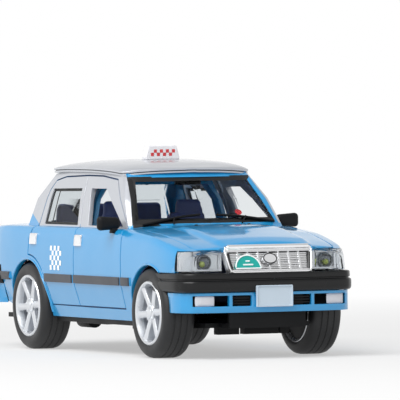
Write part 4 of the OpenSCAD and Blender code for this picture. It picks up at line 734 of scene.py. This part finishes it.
# Washer jets: two small black ABS pegs with a domed head.
# They are pressed into the bonnet before the windscreen.
JET = [(0.5, -0.3), (0.5, 0.15), (0.36, 0.35), (0, 0.42)]
jet_x, jet_y = along(0.9), HALF_W * 0.3
jet_spot = (jet_x, jet_y, bonnet_top(jet_x, jet_y))
bm = bmesh.new()
lathe(bm, JET, jet_spot, 16, axis=(0, 0, 1), spoke=(1, 0, 0))
mirror_y(bm)
piece("washer_jets", bm, [black_abs], "bonnet_body", "black_plastic")

# Boot lid: a zinc casting on two swing arms, in blue enamel all over.
# A thin yellow plate is glued to its face.
def all_blue(middle, normal):
    """One paint for every face."""
    return 0


casting("painted_boot_lid", "boot_lid", [blue_enamel], all_blue, "boot_body")
# Yellow print under a clear film: an even, warm colour with a low gloss.
plate_yellow = finish("yellow_plate_print", "#E9C33A", 0.35, 0.3, 0.001)
dress(plate_yellow, "plate_yellow", "rear_plate", edge=0.15)

# Bumpers and valances: the bumpers are black ABS with a groove round them, clipped to the casting.
# The valances under them are painted blue, with four openings in the front one.
# Black ABS from a polished tool: smoother than the chassis, with a soft line of light on each edge.
bumper_abs = finish("black_bumper_abs", "#0D0E10", 0.3, 0.35, 0.002, Specular_IOR_Level=0.35)
FRONT_REACH = 25.6
FRONT_SHARES = [(0.135, 1.005), (0.62, 1), (0.775, 0.975), (0.87, 0.93)]
FRONT_SHARES += [(0.935, 0.84), (0.972, 0.6), (0.993, 0.3), (1, 0)]
REAR_SHARES = [(0.66, 0.97), (0.72, 1.002), (0.84, 0.985), (0.91, 0.955)]
REAR_SHARES += [(0.955, 0.88), (0.98, 0.6), (0.995, 0.3), (1, 0)]
FRONT_RUN = [(AXLE_FRONT + FRONT_REACH * p, HALF_W * w) for p, w in FRONT_SHARES]
FRONT_RUN += [(x, -y) for x, y in reversed(FRONT_RUN[:-1])]
REAR_RUN = [(AXLE_REAR - TAIL * p, -HALF_W * w) for p, w in REAR_SHARES]
REAR_RUN += [(x, -y) for x, y in reversed(REAR_RUN[:-1])]
UPPER_BAND = [(2.2, 24.2), (0.9, 24.2), (0.6, 24.08), (0.45, 23.75)]
UPPER_BAND += [(0.4, 22.75), (0.45, 22.5), (0.75, 22.38), (0.75, 22.12)]
LOWER_BAND = [(0.35, 22.0), (0.08, 21.75), (0, 21.3), (0, 19.9)]
LOWER_BAND += [(0.12, 19.3), (0.45, 18.92), (0.9, 18.8), (2.2, 18.8)]
FLARE_START, FLARE_RUN = -62.4, 6.0


def along_run(run, p, depth, z):
    """A place along a bumper's run, a depth inside its outline, in metres."""
    x, y = through(run, p)
    before, after = through(run, max(0, p - 0.05)), through(run, min(len(run) - 1, p + 0.05))
    ahead = Vector((after[0] - before[0], after[1] - before[1])).normalized()
    return Vector((x + ahead.y * depth, y - ahead.x * depth, z)) * MM


for end, run in (("front", FRONT_RUN), ("rear", REAR_RUN)):
    ring = UPPER_BAND + LOWER_BAND + UPPER_BAND[:1]
    bm = bmesh.new()
    grid = bmesh.ops.create_grid(bm, x_segments=120, y_segments=len(ring) - 1, size=0.5)["verts"]
    for vert in grid:
        depth, z = ring[round((vert.co.y + 0.5) * (len(ring) - 1))]
        vert.co = along_run(run, (vert.co.x + 0.5) * (len(run) - 1), depth, z)
    bmesh.ops.remove_doubles(bm, verts=bm.verts, dist=0.002 * MM)
    bmesh.ops.holes_fill(bm, edges=[e for e in bm.edges if e.is_boundary], sides=0)
    piece(end + "_bumper_band", bm, [bumper_abs], "car", "black_plastic", end + "_bumper", sharp=60)
    name, node = end + "_painted_valance", end + "_valance"
    valance = casting(name, node, [blue_enamel], all_blue, "car")
    for vert in valance.data.vertices:
        x, y, z = vert.co / MM
        flare = min(1, max(0, (FLARE_START - x) / FLARE_RUN))
        flush = side_at(x, z) if end == "rear" else HALF_W
        flush += flare * max(0, HALF_W - flush)
        vert.co.y = max(-flush, min(flush, y)) * MM
dress(black_abs, "black_plastic", "lower_grille")

# Fog lamps: two white styrene blocks with a rounded face.
# They are pushed into the outer half of the openings from behind.
# White styrene: milky, with a clear highlight on the round of the face.
lamp_white = finish("white_lamp_styrene", "#CBCDD4", 0.25, 0.6, 0.004)
FOG_Z, FOG_HALF = 16.4, 1.3
FOG_AT, FOG_RUN = 4.4, 0.44
FOG_IN, FOG_ROUND = 1.75, 0.4
bm = bmesh.new()
grid = bmesh.ops.create_grid(bm, x_segments=16, y_segments=8, size=1)["verts"]
for vert in grid:
    out, rise = vert.co.x, vert.co.y
    depth = FOG_IN - FOG_ROUND * (1 - out**4) * (1 - rise**4)
    vert.co = along_run(FRONT_RUN, FOG_AT + out * FOG_RUN, depth, FOG_Z + rise * FOG_HALF)
bmesh.ops.recalc_face_normals(bm, faces=bm.faces)
bmesh.ops.solidify(bm, geom=bm.faces[:], thickness=0.3 * MM)
mirror_y(bm)
piece("fog_lamp_blocks", bm, [lamp_white], "car", "lamp_white", "fog_lamps")

# Grille: bright plated ABS, one moulding with thin bars, uprights and a plain oval in the middle.
# A frame runs round it, with a thick hood over the upper edge.
dress(plating, "plated_plastic", "grille", edge=0.08)
GRILLE_X, GRILLE_LOW, GRILLE_HIGH = 71.0, 24.35, 31.4
GRILLE_LEAN = 0.364
LOW_HALF, HIGH_HALF = 12.5, 13.3
BEND, SMALL_BEND = 1.1, 0.3
SURROUND_R, HOOD_R = 0.34, 0.72


def grille_place(y, z, proud=0):
    """A place on the leaning face of the grille, in mm."""
    return Vector((GRILLE_X - (z - GRILLE_LOW) * GRILLE_LEAN + proud, y, z))


bm = bmesh.new()
outline = []
corners = [(LOW_HALF, GRILLE_LOW, 1), (HIGH_HALF, GRILLE_HIGH, -1)]
corners += [(-HIGH_HALF, GRILLE_HIGH, 1), (-LOW_HALF, GRILLE_LOW, -1)]
for y, z, turn in corners:
    side, rise = (1 if y > 0 else -1), (1 if z == GRILLE_LOW else -1)
    bends = [grille_place(y - side * BEND, z)]
    bends.append(grille_place(y - side * SMALL_BEND, z + rise * SMALL_BEND))
    bends.append(grille_place(y, z + rise * BEND))
    outline += bends if turn > 0 else bends[::-1]
tube(bm, outline, SURROUND_R, closed=True)
hood = [grille_place(y * HIGH_HALF * 0.93, GRILLE_HIGH - 0.15, 0.1) for y in (-1, -0.5, 0, 0.5, 1)]
tube(bm, hood, HOOD_R)
piece("grille_surround", bm, [plating], "car", "plated_plastic")

# Dark lines of the grille: a black line round the oval, and black down the two sides as painted shade,
# where the frame's returns face away from the light. They part the bright bars from the frame round them.
OVAL_Z, OVAL_WIDE, OVAL_HIGH = 28.05, 1.95, 1.35
OVAL_OUT, OVAL_LINE = 0.68, 0.16
SIDE_IN, SIDE_SHADE_R = 0.75, 0.36
bm = bmesh.new()
turns = [step * tau / 40 for step in range(40)]
oval = [grille_place(OVAL_WIDE * cos(a), OVAL_Z + OVAL_HIGH * sin(a), OVAL_OUT) for a in turns]
tube(bm, oval, OVAL_LINE, closed=True, sides=8)
# The two side lines are painted shade on the frame's returns.
for side in (-1, 1):
    foot = grille_place(side * (LOW_HALF - SIDE_IN), GRILLE_LOW + 0.7)
    head = grille_place(side * (HIGH_HALF - SIDE_IN), GRILLE_HIGH - 1.9)
    tube(bm, [foot + (head - foot) * step / 6 for step in range(7)], SIDE_SHADE_R)
piece("grille_side_shade_and_oval_line", bm, [black_print_and_shade], "car", "black_plastic")

# Grille backing: a thin black ABS sheet behind the bars, held by the grille's own edge.
# It keeps the gaps between the bars dark.
BACKING_HALF, BACKING_HIGH, BACKING_IN = LOW_HALF - 0.2, 3.3, 1.9
GRILLE_MIDDLE = (GRILLE_LOW + GRILLE_HIGH) / 2
bm = bmesh.new()
for vert in bmesh.ops.create_grid(bm, x_segments=12, y_segments=6, size=1)["verts"]:
    y, z = vert.co.x * BACKING_HALF, GRILLE_MIDDLE + vert.co.y * BACKING_HIGH
    vert.co = grille_place(y, z, -BACKING_IN) * MM
bmesh.ops.solidify(bm, geom=bm.faces[:], thickness=0.2 * MM)
piece("grille_backing", bm, [black_abs], "car", "black_plastic")

# Badge and front plate: a half-round badge of teal styrene and a thin pale plate, both glued on.
# The badge has a white line round it and two white bars, pad printed.
# Teal styrene, moulded in its colour: half gloss, so that the printed lines stand out.
teal_styrene = finish("teal_styrene", "#17A097", 0.3, 0.5, 0.002)
dress(teal_styrene, "teal_plastic", "permit_badge", edge=0.1)
badge_low, badge_high = (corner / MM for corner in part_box("permit_badge"))
BADGE_R = (badge_high.y - badge_low.y) / 2 - 0.16
BADGE_RISE, BADGE_FLAT = 0.18, 0.955
BADGE_OUT, BADGE_LINE, BADGE_BAR = 0.36, 0.2, 0.22
badge_y = (badge_low.y + badge_high.y) / 2
bm = bmesh.new()
arc = []
for a in (radians(degree) for degree in range(0, 181, 9)):
    y, z = badge_y + BADGE_R * cos(a), badge_low.z + BADGE_RISE + BADGE_R * BADGE_FLAT * sin(a)
    arc.append(grille_place(y, z, BADGE_OUT))
tube(bm, arc, BADGE_LINE, closed=True)
for mark, width in ((1.2, 1.5), (2.2, 0.6)):
    ends = [(badge_y + side * width, badge_low.z + mark) for side in (-1, 0, 1)]
    tube(bm, [grille_place(y, z, BADGE_OUT) for y, z in ends], BADGE_BAR)
piece("badge_print", bm, [white_print], "car", "white_plastic")
# Pale print under a clear film: a cool, even white with a low gloss.
plate_white = finish("white_plate_print", "#BFCEDB", 0.3, 0.3, 0.001)
dress(plate_white, "plate_white", "front_plate", edge=0.2)

# Headlamps: plated bowls with a small round LED eye each, behind one clear styrene lens a side.
# The tail lamps are solid blocks of red styrene, glued into the tail.
# Cast resin of the LEDs: a small yellow-green dome with one bright point of light.
led_resin = finish("led_resin", "#A9B65A", 0.2, 0.5, 0.001)
# Clear styrene of the lenses: a bright edge and a light bend of what lies behind it.
lens_styrene = finish("lens_styrene", "#EEF1F3", 0.04, 1.2, 0.002, Transmission_Weight=1.0, IOR=1.25)
dress(lens_styrene, "lamp_clear", "headlamp_lenses", edge=0.1)
# Gunmetal plating of the eye rings: a darker mirror that sets the eye off.
gunmetal = finish("gunmetal_plating", "#75797E", 0.25, 0.5, 0.001, Metallic=1.0)
# Silver plating of the bowls: pale, with a soft mirror that fills the lamp with light.
lamp_silver = finish("silver_lamp_plating", "#EBEDF0", 0.28, 0.5, 0.001, Metallic=0.5)
bowl_low, bowl_high = (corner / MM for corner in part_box("headlamp_bowls"))
EYE_Y, EYE_Z = 18.7, (bowl_low.z + bowl_high.z) / 2 + 0.3
EYE_X = bowl_high.x - 1.0
BEZEL_IN, BEZEL_OUT = 13.8, 21.9
BEZEL_LOW, BEZEL_HIGH = bowl_low.z + 0.05, bowl_high.z + 1.0
FILLER_IN, FILLER_BACK, FACET = 13.4, 0.2, 0.5
CORNER_RUN = [(66.7, 22.1), (66.3, 22.9), (65.0, 24.0), (63.1, 25.0)]
RIBS, RIB_H = 12, 0.12


def bezel_z(share):
    """Height in a headlamp, from 0 at its foot to 1 at its top."""
    return BEZEL_LOW + (BEZEL_HIGH - BEZEL_LOW) * share


bm = bmesh.new()
border(bm, 14, 10, 0.085, 0.09)
for vert in bm.verts:
    y = BEZEL_IN + (BEZEL_OUT - BEZEL_IN) * vert.co.x
    vert.co = Vector((bowl_high.x + 0.05, y, bezel_z(vert.co.y))) * MM
plate = bmesh.ops.create_grid(bm, x_segments=24, y_segments=12, size=0.5)["verts"]
for vert in plate:
    y = FILLER_IN + (BEZEL_OUT - FILLER_IN) * (vert.co.x + 0.5)
    x = EYE_X - FILLER_BACK + FACET * abs(y - EYE_Y) / (BEZEL_OUT - EYE_Y)
    vert.co = Vector((x, y, bezel_z(vert.co.y + 0.5))) * MM
for vert in bmesh.ops.create_grid(bm, x_segments=72, y_segments=8, size=0.5)["verts"]:
    share = vert.co.x + 0.5
    x, y = through(CORNER_RUN, share * (len(CORNER_RUN) - 1))
    rib = RIB_H * cos(share * RIBS * tau)
    vert.co = Vector((x + rib * 0.6, y + rib * 0.8, bezel_z(vert.co.y + 0.5))) * MM
bmesh.ops.recalc_face_normals(bm, faces=bm.faces)
bmesh.ops.solidify(bm, geom=bm.faces[:], thickness=0.15 * MM)
mirror_y(bm)
piece("lamp_reflectors", bm, [lamp_silver], "car", "plated_plastic", "headlamp_bowls")
bm = bmesh.new()
eye = [(2.3, -0.3), (2.3, 0.7), (2.1, 0.95), (1.85, 0.95), (1.7, 0.5), (1.2, 0.2), (0.6, 0.05), (0, 0)]
lathe(bm, eye, (EYE_X, EYE_Y, EYE_Z), 40, axis=(1, 0, 0))
mirror_y(bm)
piece("lamp_eye_rings", bm, [gunmetal], "car", "plated_plastic")
bm = bmesh.new()
dome = [(0.85, 0), (0.85, 0.35), (0.75, 0.6), (0.45, 0.8), (0, 0.86)]
lathe(bm, dome, (EYE_X, EYE_Y + 0.3, EYE_Z - 0.55), 32, axis=(1, 0, 0))
mirror_y(bm)
piece("lamp_led_domes", bm, [led_resin], "car", "led_resin", "lamp_leds")
# Red styrene: a deep, wet-looking colour.
red_styrene = finish("red_lens_styrene", "#B3161C", 0.12, 0.9, 0.003, Coat_Weight=0.6)
dress(red_styrene, "lamp_red", "tail_lamps", edge=0.15)

# Windscreen border: black print on the screen's edge, wider at the foot. Two black ABS wipers lie on it.
# A small disc of red film is stuck to the screen, low on the car's left.
SCREEN_FOOT = [(0, 0.835), (0.45, 0.825), (0.86, 0.797), (0.905, 0.785)]
SCREEN_HEAD = [(0, 0.64), (0.35, 0.632), (0.68, 0.616), (0.715, 0.604)]
SCREEN_LOW, SCREEN_HIGH = (0.845, 1.08), (0.69, 1.91)


def screen_place(across, s, proud):
    """A place on the windscreen from its width share and height share."""
    z = up(s)
    v = (z - FOOT_Z) / (up(2.0) - FOOT_Z)
    foot, head = along(smooth(SCREEN_FOOT, abs(across))[0]), along(smooth(SCREEN_HEAD, abs(across))[0])
    lean = Vector((EAVE_Z - FOOT_Z, 0, foot - head)).normalized()
    return (Vector((foot + (head - foot) * v, across * HALF_W, z)) + lean * proud) * MM


bm = bmesh.new()
border(bm, 24, 12, 0.048, 0.1)
for vert in bm.verts:
    u, v = vert.co.x * 2 - 1, vert.co.y
    half = SCREEN_LOW[0] + (SCREEN_HIGH[0] - SCREEN_LOW[0]) * v
    vert.co = screen_place(u * half, SCREEN_LOW[1] + (SCREEN_HIGH[1] - SCREEN_LOW[1]) * v, 0.08)
bmesh.ops.solidify(bm, geom=bm.faces[:], thickness=0.1 * MM)
piece("windscreen_border", bm, [black_print_and_shade], "car", "black_plastic")
WIPERS = [
    [(-0.74, 1.045), (-0.5, 1.12), (-0.28, 1.18), (-0.08, 1.21)],
    [(0.1, 1.2), (0.32, 1.18), (0.55, 1.13), (0.78, 1.07)],
]
PIVOTS = [(-0.42, 1.035), (0.36, 1.035)]
WIPER_BARS = [(0.62, 0.3), (0.26, 0.16)]
ARM_OUT, ARM_R = 1.0, 0.24
bm = bmesh.new()
for blade, pivot in zip(WIPERS, PIVOTS):
    run = [through(blade, step / 4) for step in range(4 * (len(blade) - 1) + 1)]
    for out, radius in WIPER_BARS:
        tube(bm, [screen_place(across, s, out) / MM for across, s in run], radius, sides=6)
    clip = run[len(run) // 2]
    reach = [[a + (b - a) * f for a, b in zip(pivot, clip)] for f in (0, 0.3, 0.7, 1)]
    tube(bm, [screen_place(across, s, ARM_OUT) / MM for across, s in reach], ARM_R, sides=8)
piece("wiper_pair", bm, [black_abs], "car", "black_plastic", "wipers")
# Red print: a flat, even red.
red_print = finish("red_print", "#C8353B", 0.35, 0.3, 0.001)
DISC = [(1.05, -0.05), (1.05, 0.02), (0.9, 0.05), (0, 0.05)]
DISC_SPOT, DISC_OUT = (0.39, 1.27), -0.16
disc_place, *ends = (screen_place(*DISC_SPOT, out) / MM for out in (DISC_OUT, 0, 1))
bm = bmesh.new()
lathe(bm, DISC, disc_place, 32, axis=(ends[1] - ends[0]).normalized(), spoke=(0, 1, 0))
piece("screen_sticker", bm, [red_print], "car", "lamp_red")

# Roof: a separate cast skin in silver enamel, glued over the cabin, with an edge that stands out.
# The edge is turned under in steps, with black painted into the groove above the rail as its shade.
ROOF_SHARES = [
    (0.05, 0.7, 2.045, 0.045),
    (0.058, 0.754, 2.05, 0.06),
    (0.12, 0.768, 2.064, 0.105),
    (0.22, 0.772, 2.072, 0.132),
    (0.34, 0.772, 2.072, 0.14),
    (0.46, 0.766, 2.06, 0.142),
    (0.56, 0.752, 2.034, 0.132),
    (0.6, 0.738, 2.014, 0.118),
    (0.612, 0.715, 2.008, 0.11),
    (0.63, 0.6, 2.025, 0.07),
    (0.65, 0.33, 2.05, 0.022),
    (0.658, 0.06, 2.058, 0.003),
]
ROOF = [(along(row[0]), *row[1:]) for row in ROOF_SHARES]
ROUND_SHARES = [(0, 1), (0.4, 0.94), (0.75, 0.7), (0.93, 0.35), (1, 0)]
bm = bmesh.new()
grid = bmesh.ops.create_grid(bm, x_segments=56, y_segments=40, size=1)["verts"]
for vert in grid:
    run, side = (vert.co.x + 1) / 2, sin(vert.co.y * tau / 4)
    x = ROOF[0][0] + (ROOF[-1][0] - ROOF[0][0]) * (1 - cos(run * tau / 2)) / 2
    half, edge, crown = smooth(ROOF, x)
    z = up(edge) + (EAVE_Z - BELT_Z) * crown * smooth(ROUND_SHARES, abs(side))[0]
    vert.co = Vector((x, side * half * HALF_W, z)) * MM
bmesh.ops.recalc_face_normals(bm, faces=bm.faces)
# The third step is the groove above the rail; its faces take black as painted shade.
LIP_STEPS = [(0, -0.55, 0), (0.4, 0, 0), (0, -0.24, 1), (-0.3, 0, 0), (0, -0.5, 0), (1.4, 0, 0)]
middle = Vector(((ROOF[0][0] + ROOF[-1][0]) / 2, 0, 0)) * MM
half_l, half_w = (ROOF[-1][0] - ROOF[0][0]) / 2, HALF_W * ROOF[4][1]
for inward, fall, tone in LIP_STEPS:
    fresh = bmesh.ops.extrude_edge_only(bm, edges=[e for e in bm.edges if e.is_boundary])["geom"]
    ring = [g for g in fresh if isinstance(g, bmesh.types.BMVert)]
    bmesh.ops.translate(bm, vec=(0, 0, fall * MM), verts=ring)
    shrink = (1 - inward / half_l, 1 - inward / half_w, 1)
    bmesh.ops.scale(bm, vec=shrink, space=Matrix.Translation(-middle), verts=ring)
    for face in (g for g in fresh if isinstance(g, bmesh.types.BMFace)):
        face.material_index = tone
rim = [e for e in bm.edges if len(e.link_faces) == 2 and e.calc_face_angle() > radians(50)]
bmesh.ops.bevel(bm, geom=rim, offset=0.1 * MM, **turned)
piece("painted_roof", bm, [silver_enamel, black_print_and_shade], "car", "silver_paint", "roof_panel", sharp=45)

# Roof sign: a block of white styrene, narrower towards its top, set a little into the roof and glued.
# Red chequers are pad printed on its two broad faces.
# White styrene: a clean white with a clear highlight along its rounded edges.
sign_styrene = finish("white_sign_styrene", "#E3E3E7", 0.3, 0.5, 0.002)
dress(sign_styrene, "white_plastic", "roof_sign", edge=0.3)
sign_low, sign_high = (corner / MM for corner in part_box("roof_sign"))
SIGN_CHECK, SIGN_COLUMNS, SIGN_ROWS = 0.95, 8, 2
SIGN_INK_OUT = 0.05
SIGN_Z = (sign_low.z + sign_high.z) / 2
bm = bmesh.new()
for face_x, out in ((sign_low.x, -1), (sign_high.x, 1)):
    cells = {"x_segments": SIGN_COLUMNS, "y_segments": SIGN_ROWS}
    for vert in bmesh.ops.create_grid(bm, size=0.5, **cells)["verts"]:
        y = vert.co.x * SIGN_COLUMNS * SIGN_CHECK
        z = SIGN_Z + vert.co.y * SIGN_ROWS * SIGN_CHECK
        vert.co = Vector((face_x + out * SIGN_INK_OUT, y, z)) * MM
blank = []
for face in bm.faces:
    place = face.calc_center_median() / MM
    column, row = round(place.y / SIGN_CHECK + (SIGN_COLUMNS - 1) / 2), int(place.z > SIGN_Z)
    blank += [face] if (column + row) % 2 else []
bmesh.ops.delete(bm, geom=blank, context="FACES")
bmesh.ops.solidify(bm, geom=bm.faces[:], thickness=INK * MM)
piece("sign_print", bm, [red_print], "car", "lamp_red")

# Door mirrors: black ABS shells, each on a short foot that is pressed into the front door at the belt.
# They are rounded all over and a little lower towards the door.
FOOT_IN, FOOT_OUT = 25.2, 27.4
MIRROR_ROUND, MIRROR_TAPER = 1.2, 0.12
for side, word in ((1, "left"), (-1, "right")):
    low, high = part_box(word + "_mirror")
    size = high - low
    bm = bmesh.new()
    bmesh.ops.create_cube(bm, size=1)
    bmesh.ops.scale(bm, vec=size, verts=bm.verts)
    bmesh.ops.translate(bm, vec=(low + high) / 2, verts=bm.verts)
    for vert in bm.verts:
        if vert.co.y * side < (low.y + high.y) / 2 * side:
            vert.co.z += MIRROR_TAPER * size.z * (1 if vert.co.z < (low.z + high.z) / 2 else -1)
    shell = {"segments": 6, "profile": 0.5, "affect": "EDGES", "material": -1}
    bmesh.ops.bevel(bm, geom=bm.edges[:], offset=MIRROR_ROUND * MM, **shell)
    foot = sorted((side * FOOT_OUT, side * FOOT_IN))
    ends = low.x / MM + 0.4, high.x / MM - 0.2
    cushion(bm, (ends[0], foot[0], low.z / MM - 0.7), (ends[1], foot[1], low.z / MM + 1.2), 0.8, 0.3)
    door_body = "front_" + word + "_door_body"
    piece(word + "_mirror_shell", bm, [black_abs], door_body, "black_plastic", word + "_mirror")

# Floor and light: a pale plain floor under a white studio, with one large soft light overhead.
# Light and background are set so that the colours come out about as written.
bm = bmesh.new()
bmesh.ops.create_grid(bm, x_segments=1, y_segments=1, size=12)
floor_mesh = bpy.data.meshes.new("floor")
bm.to_mesh(floor_mesh)
bm.free()
floor = bpy.data.objects.new("floor", floor_mesh)
bpy.context.scene.collection.objects.link(floor)
# White paper: it takes a soft shadow under the car and fades to plain white away from it.
floor_paper = finish("floor_paper", "#DCDCDC", 0.9, 1.5, 0.002)
floor_mesh.materials.append(floor_paper)
paper_nodes = floor_paper.node_tree.nodes
spot = {0: paper_nodes["Texture Coordinate"].outputs["Object"]}
away = add(floor_paper, "ShaderNodeVectorMath", spot, operation="LENGTH")
reach = {"From Min": 0.14, "From Max": 0.5, "To Min": 0.45}
fade = add(floor_paper, "ShaderNodeMapRange", {"Value": away.outputs["Value"]} | reach)
glow = add(floor_paper, "ShaderNodeEmission", {"Color": linear("#FFFFFF"), "Strength": 1.0})
surface = paper_nodes["Principled BSDF"].outputs["BSDF"]
sheets = {0: fade.outputs["Result"], 1: surface, 2: glow.outputs["Emission"]}
blend = add(floor_paper, "ShaderNodeMixShader", sheets)
add(floor_paper, "Material Output", {"Surface": blend.outputs["Shader"]})

scene = bpy.context.scene
world = bpy.data.worlds.new("studio")
world.use_nodes = True
scene.world = world
path = add(world, "ShaderNodeLightPath", {})
seen_rays = {0: path.outputs["Is Camera Ray"], 1: path.outputs["Is Glossy Ray"]}
seen = add(world, "ShaderNodeMath", seen_rays, operation="MAXIMUM")
more_rays = {0: seen.outputs[0], 1: path.outputs["Is Transmission Ray"]}
more = add(world, "ShaderNodeMath", more_rays, operation="MAXIMUM")
level = add(world, "ShaderNodeMapRange", {"Value": more.outputs[0], "To Min": 0.7, "To Max": 1.0})
sky = add(world, "ShaderNodeTexCoord", {}).outputs["Generated"]
height = add(world, "ShaderNodeSeparateXYZ", {"Vector": sky})
falling = {"From Min": 0.12, "From Max": 0.75, "To Min": 1.0, "To Max": 0.5}
ceiling = add(world, "ShaderNodeMapRange", {"Value": height.outputs["Z"]} | falling)
levels = {0: level.outputs["Result"], 1: ceiling.outputs["Result"]}
shade = add(world, "ShaderNodeMath", levels, operation="MULTIPLY")
add(world, "Background", {"Color": linear("#FFFFFF"), "Strength": shade.outputs[0]})
lamp = bpy.data.lights.new("softbox", "AREA")
lamp.shape = "RECTANGLE"
lamp.size, lamp.size_y = 0.9, 0.7
lamp.energy = 11.5
softbox = bpy.data.objects.new("softbox", lamp)
LAMP_PLACE, LAMP_LEAN = (0.3, -0.55, 0.8), (0.3, -0.55, 0.75)
tilt = Vector(LAMP_LEAN).to_track_quat("Z", "Y").to_matrix().to_4x4()
softbox.matrix_world = Matrix.Translation(LAMP_PLACE) @ tilt
scene.collection.objects.link(softbox)

# Camera: a long lens at the front right of the car, two metres away and almost level with the belt.
# It is turned a little off level, as in the photo.
AZIMUTH, ELEVATION, ROLL = radians(66.0), radians(0.96), radians(-0.63)
AIM = Vector((22.6, 0, 43.8)) * MM
DISTANCE = 2.0
back = Vector((sin(AZIMUTH) * cos(ELEVATION), -cos(AZIMUTH) * cos(ELEVATION), sin(ELEVATION)))
right = Vector((0, 0, 1)).cross(back).normalized()
above = back.cross(right)
turned_right = right * cos(ROLL) + above * sin(ROLL)
turned_up = above * cos(ROLL) - right * sin(ROLL)
spot = AIM + back * DISTANCE
view = bpy.data.cameras.new("photo_view")
view.lens = 630.1
view.sensor_width = 36
view.clip_end = 50
camera = bpy.data.objects.new("photo_view", view)
rows = [(*axes, at) for *axes, at in zip(turned_right, turned_up, back, spot)]
camera.matrix_world = Matrix(rows + [(0, 0, 0, 1)])
scene.collection.objects.link(camera)
scene.camera = camera
scene.view_settings.view_transform = "Standard"
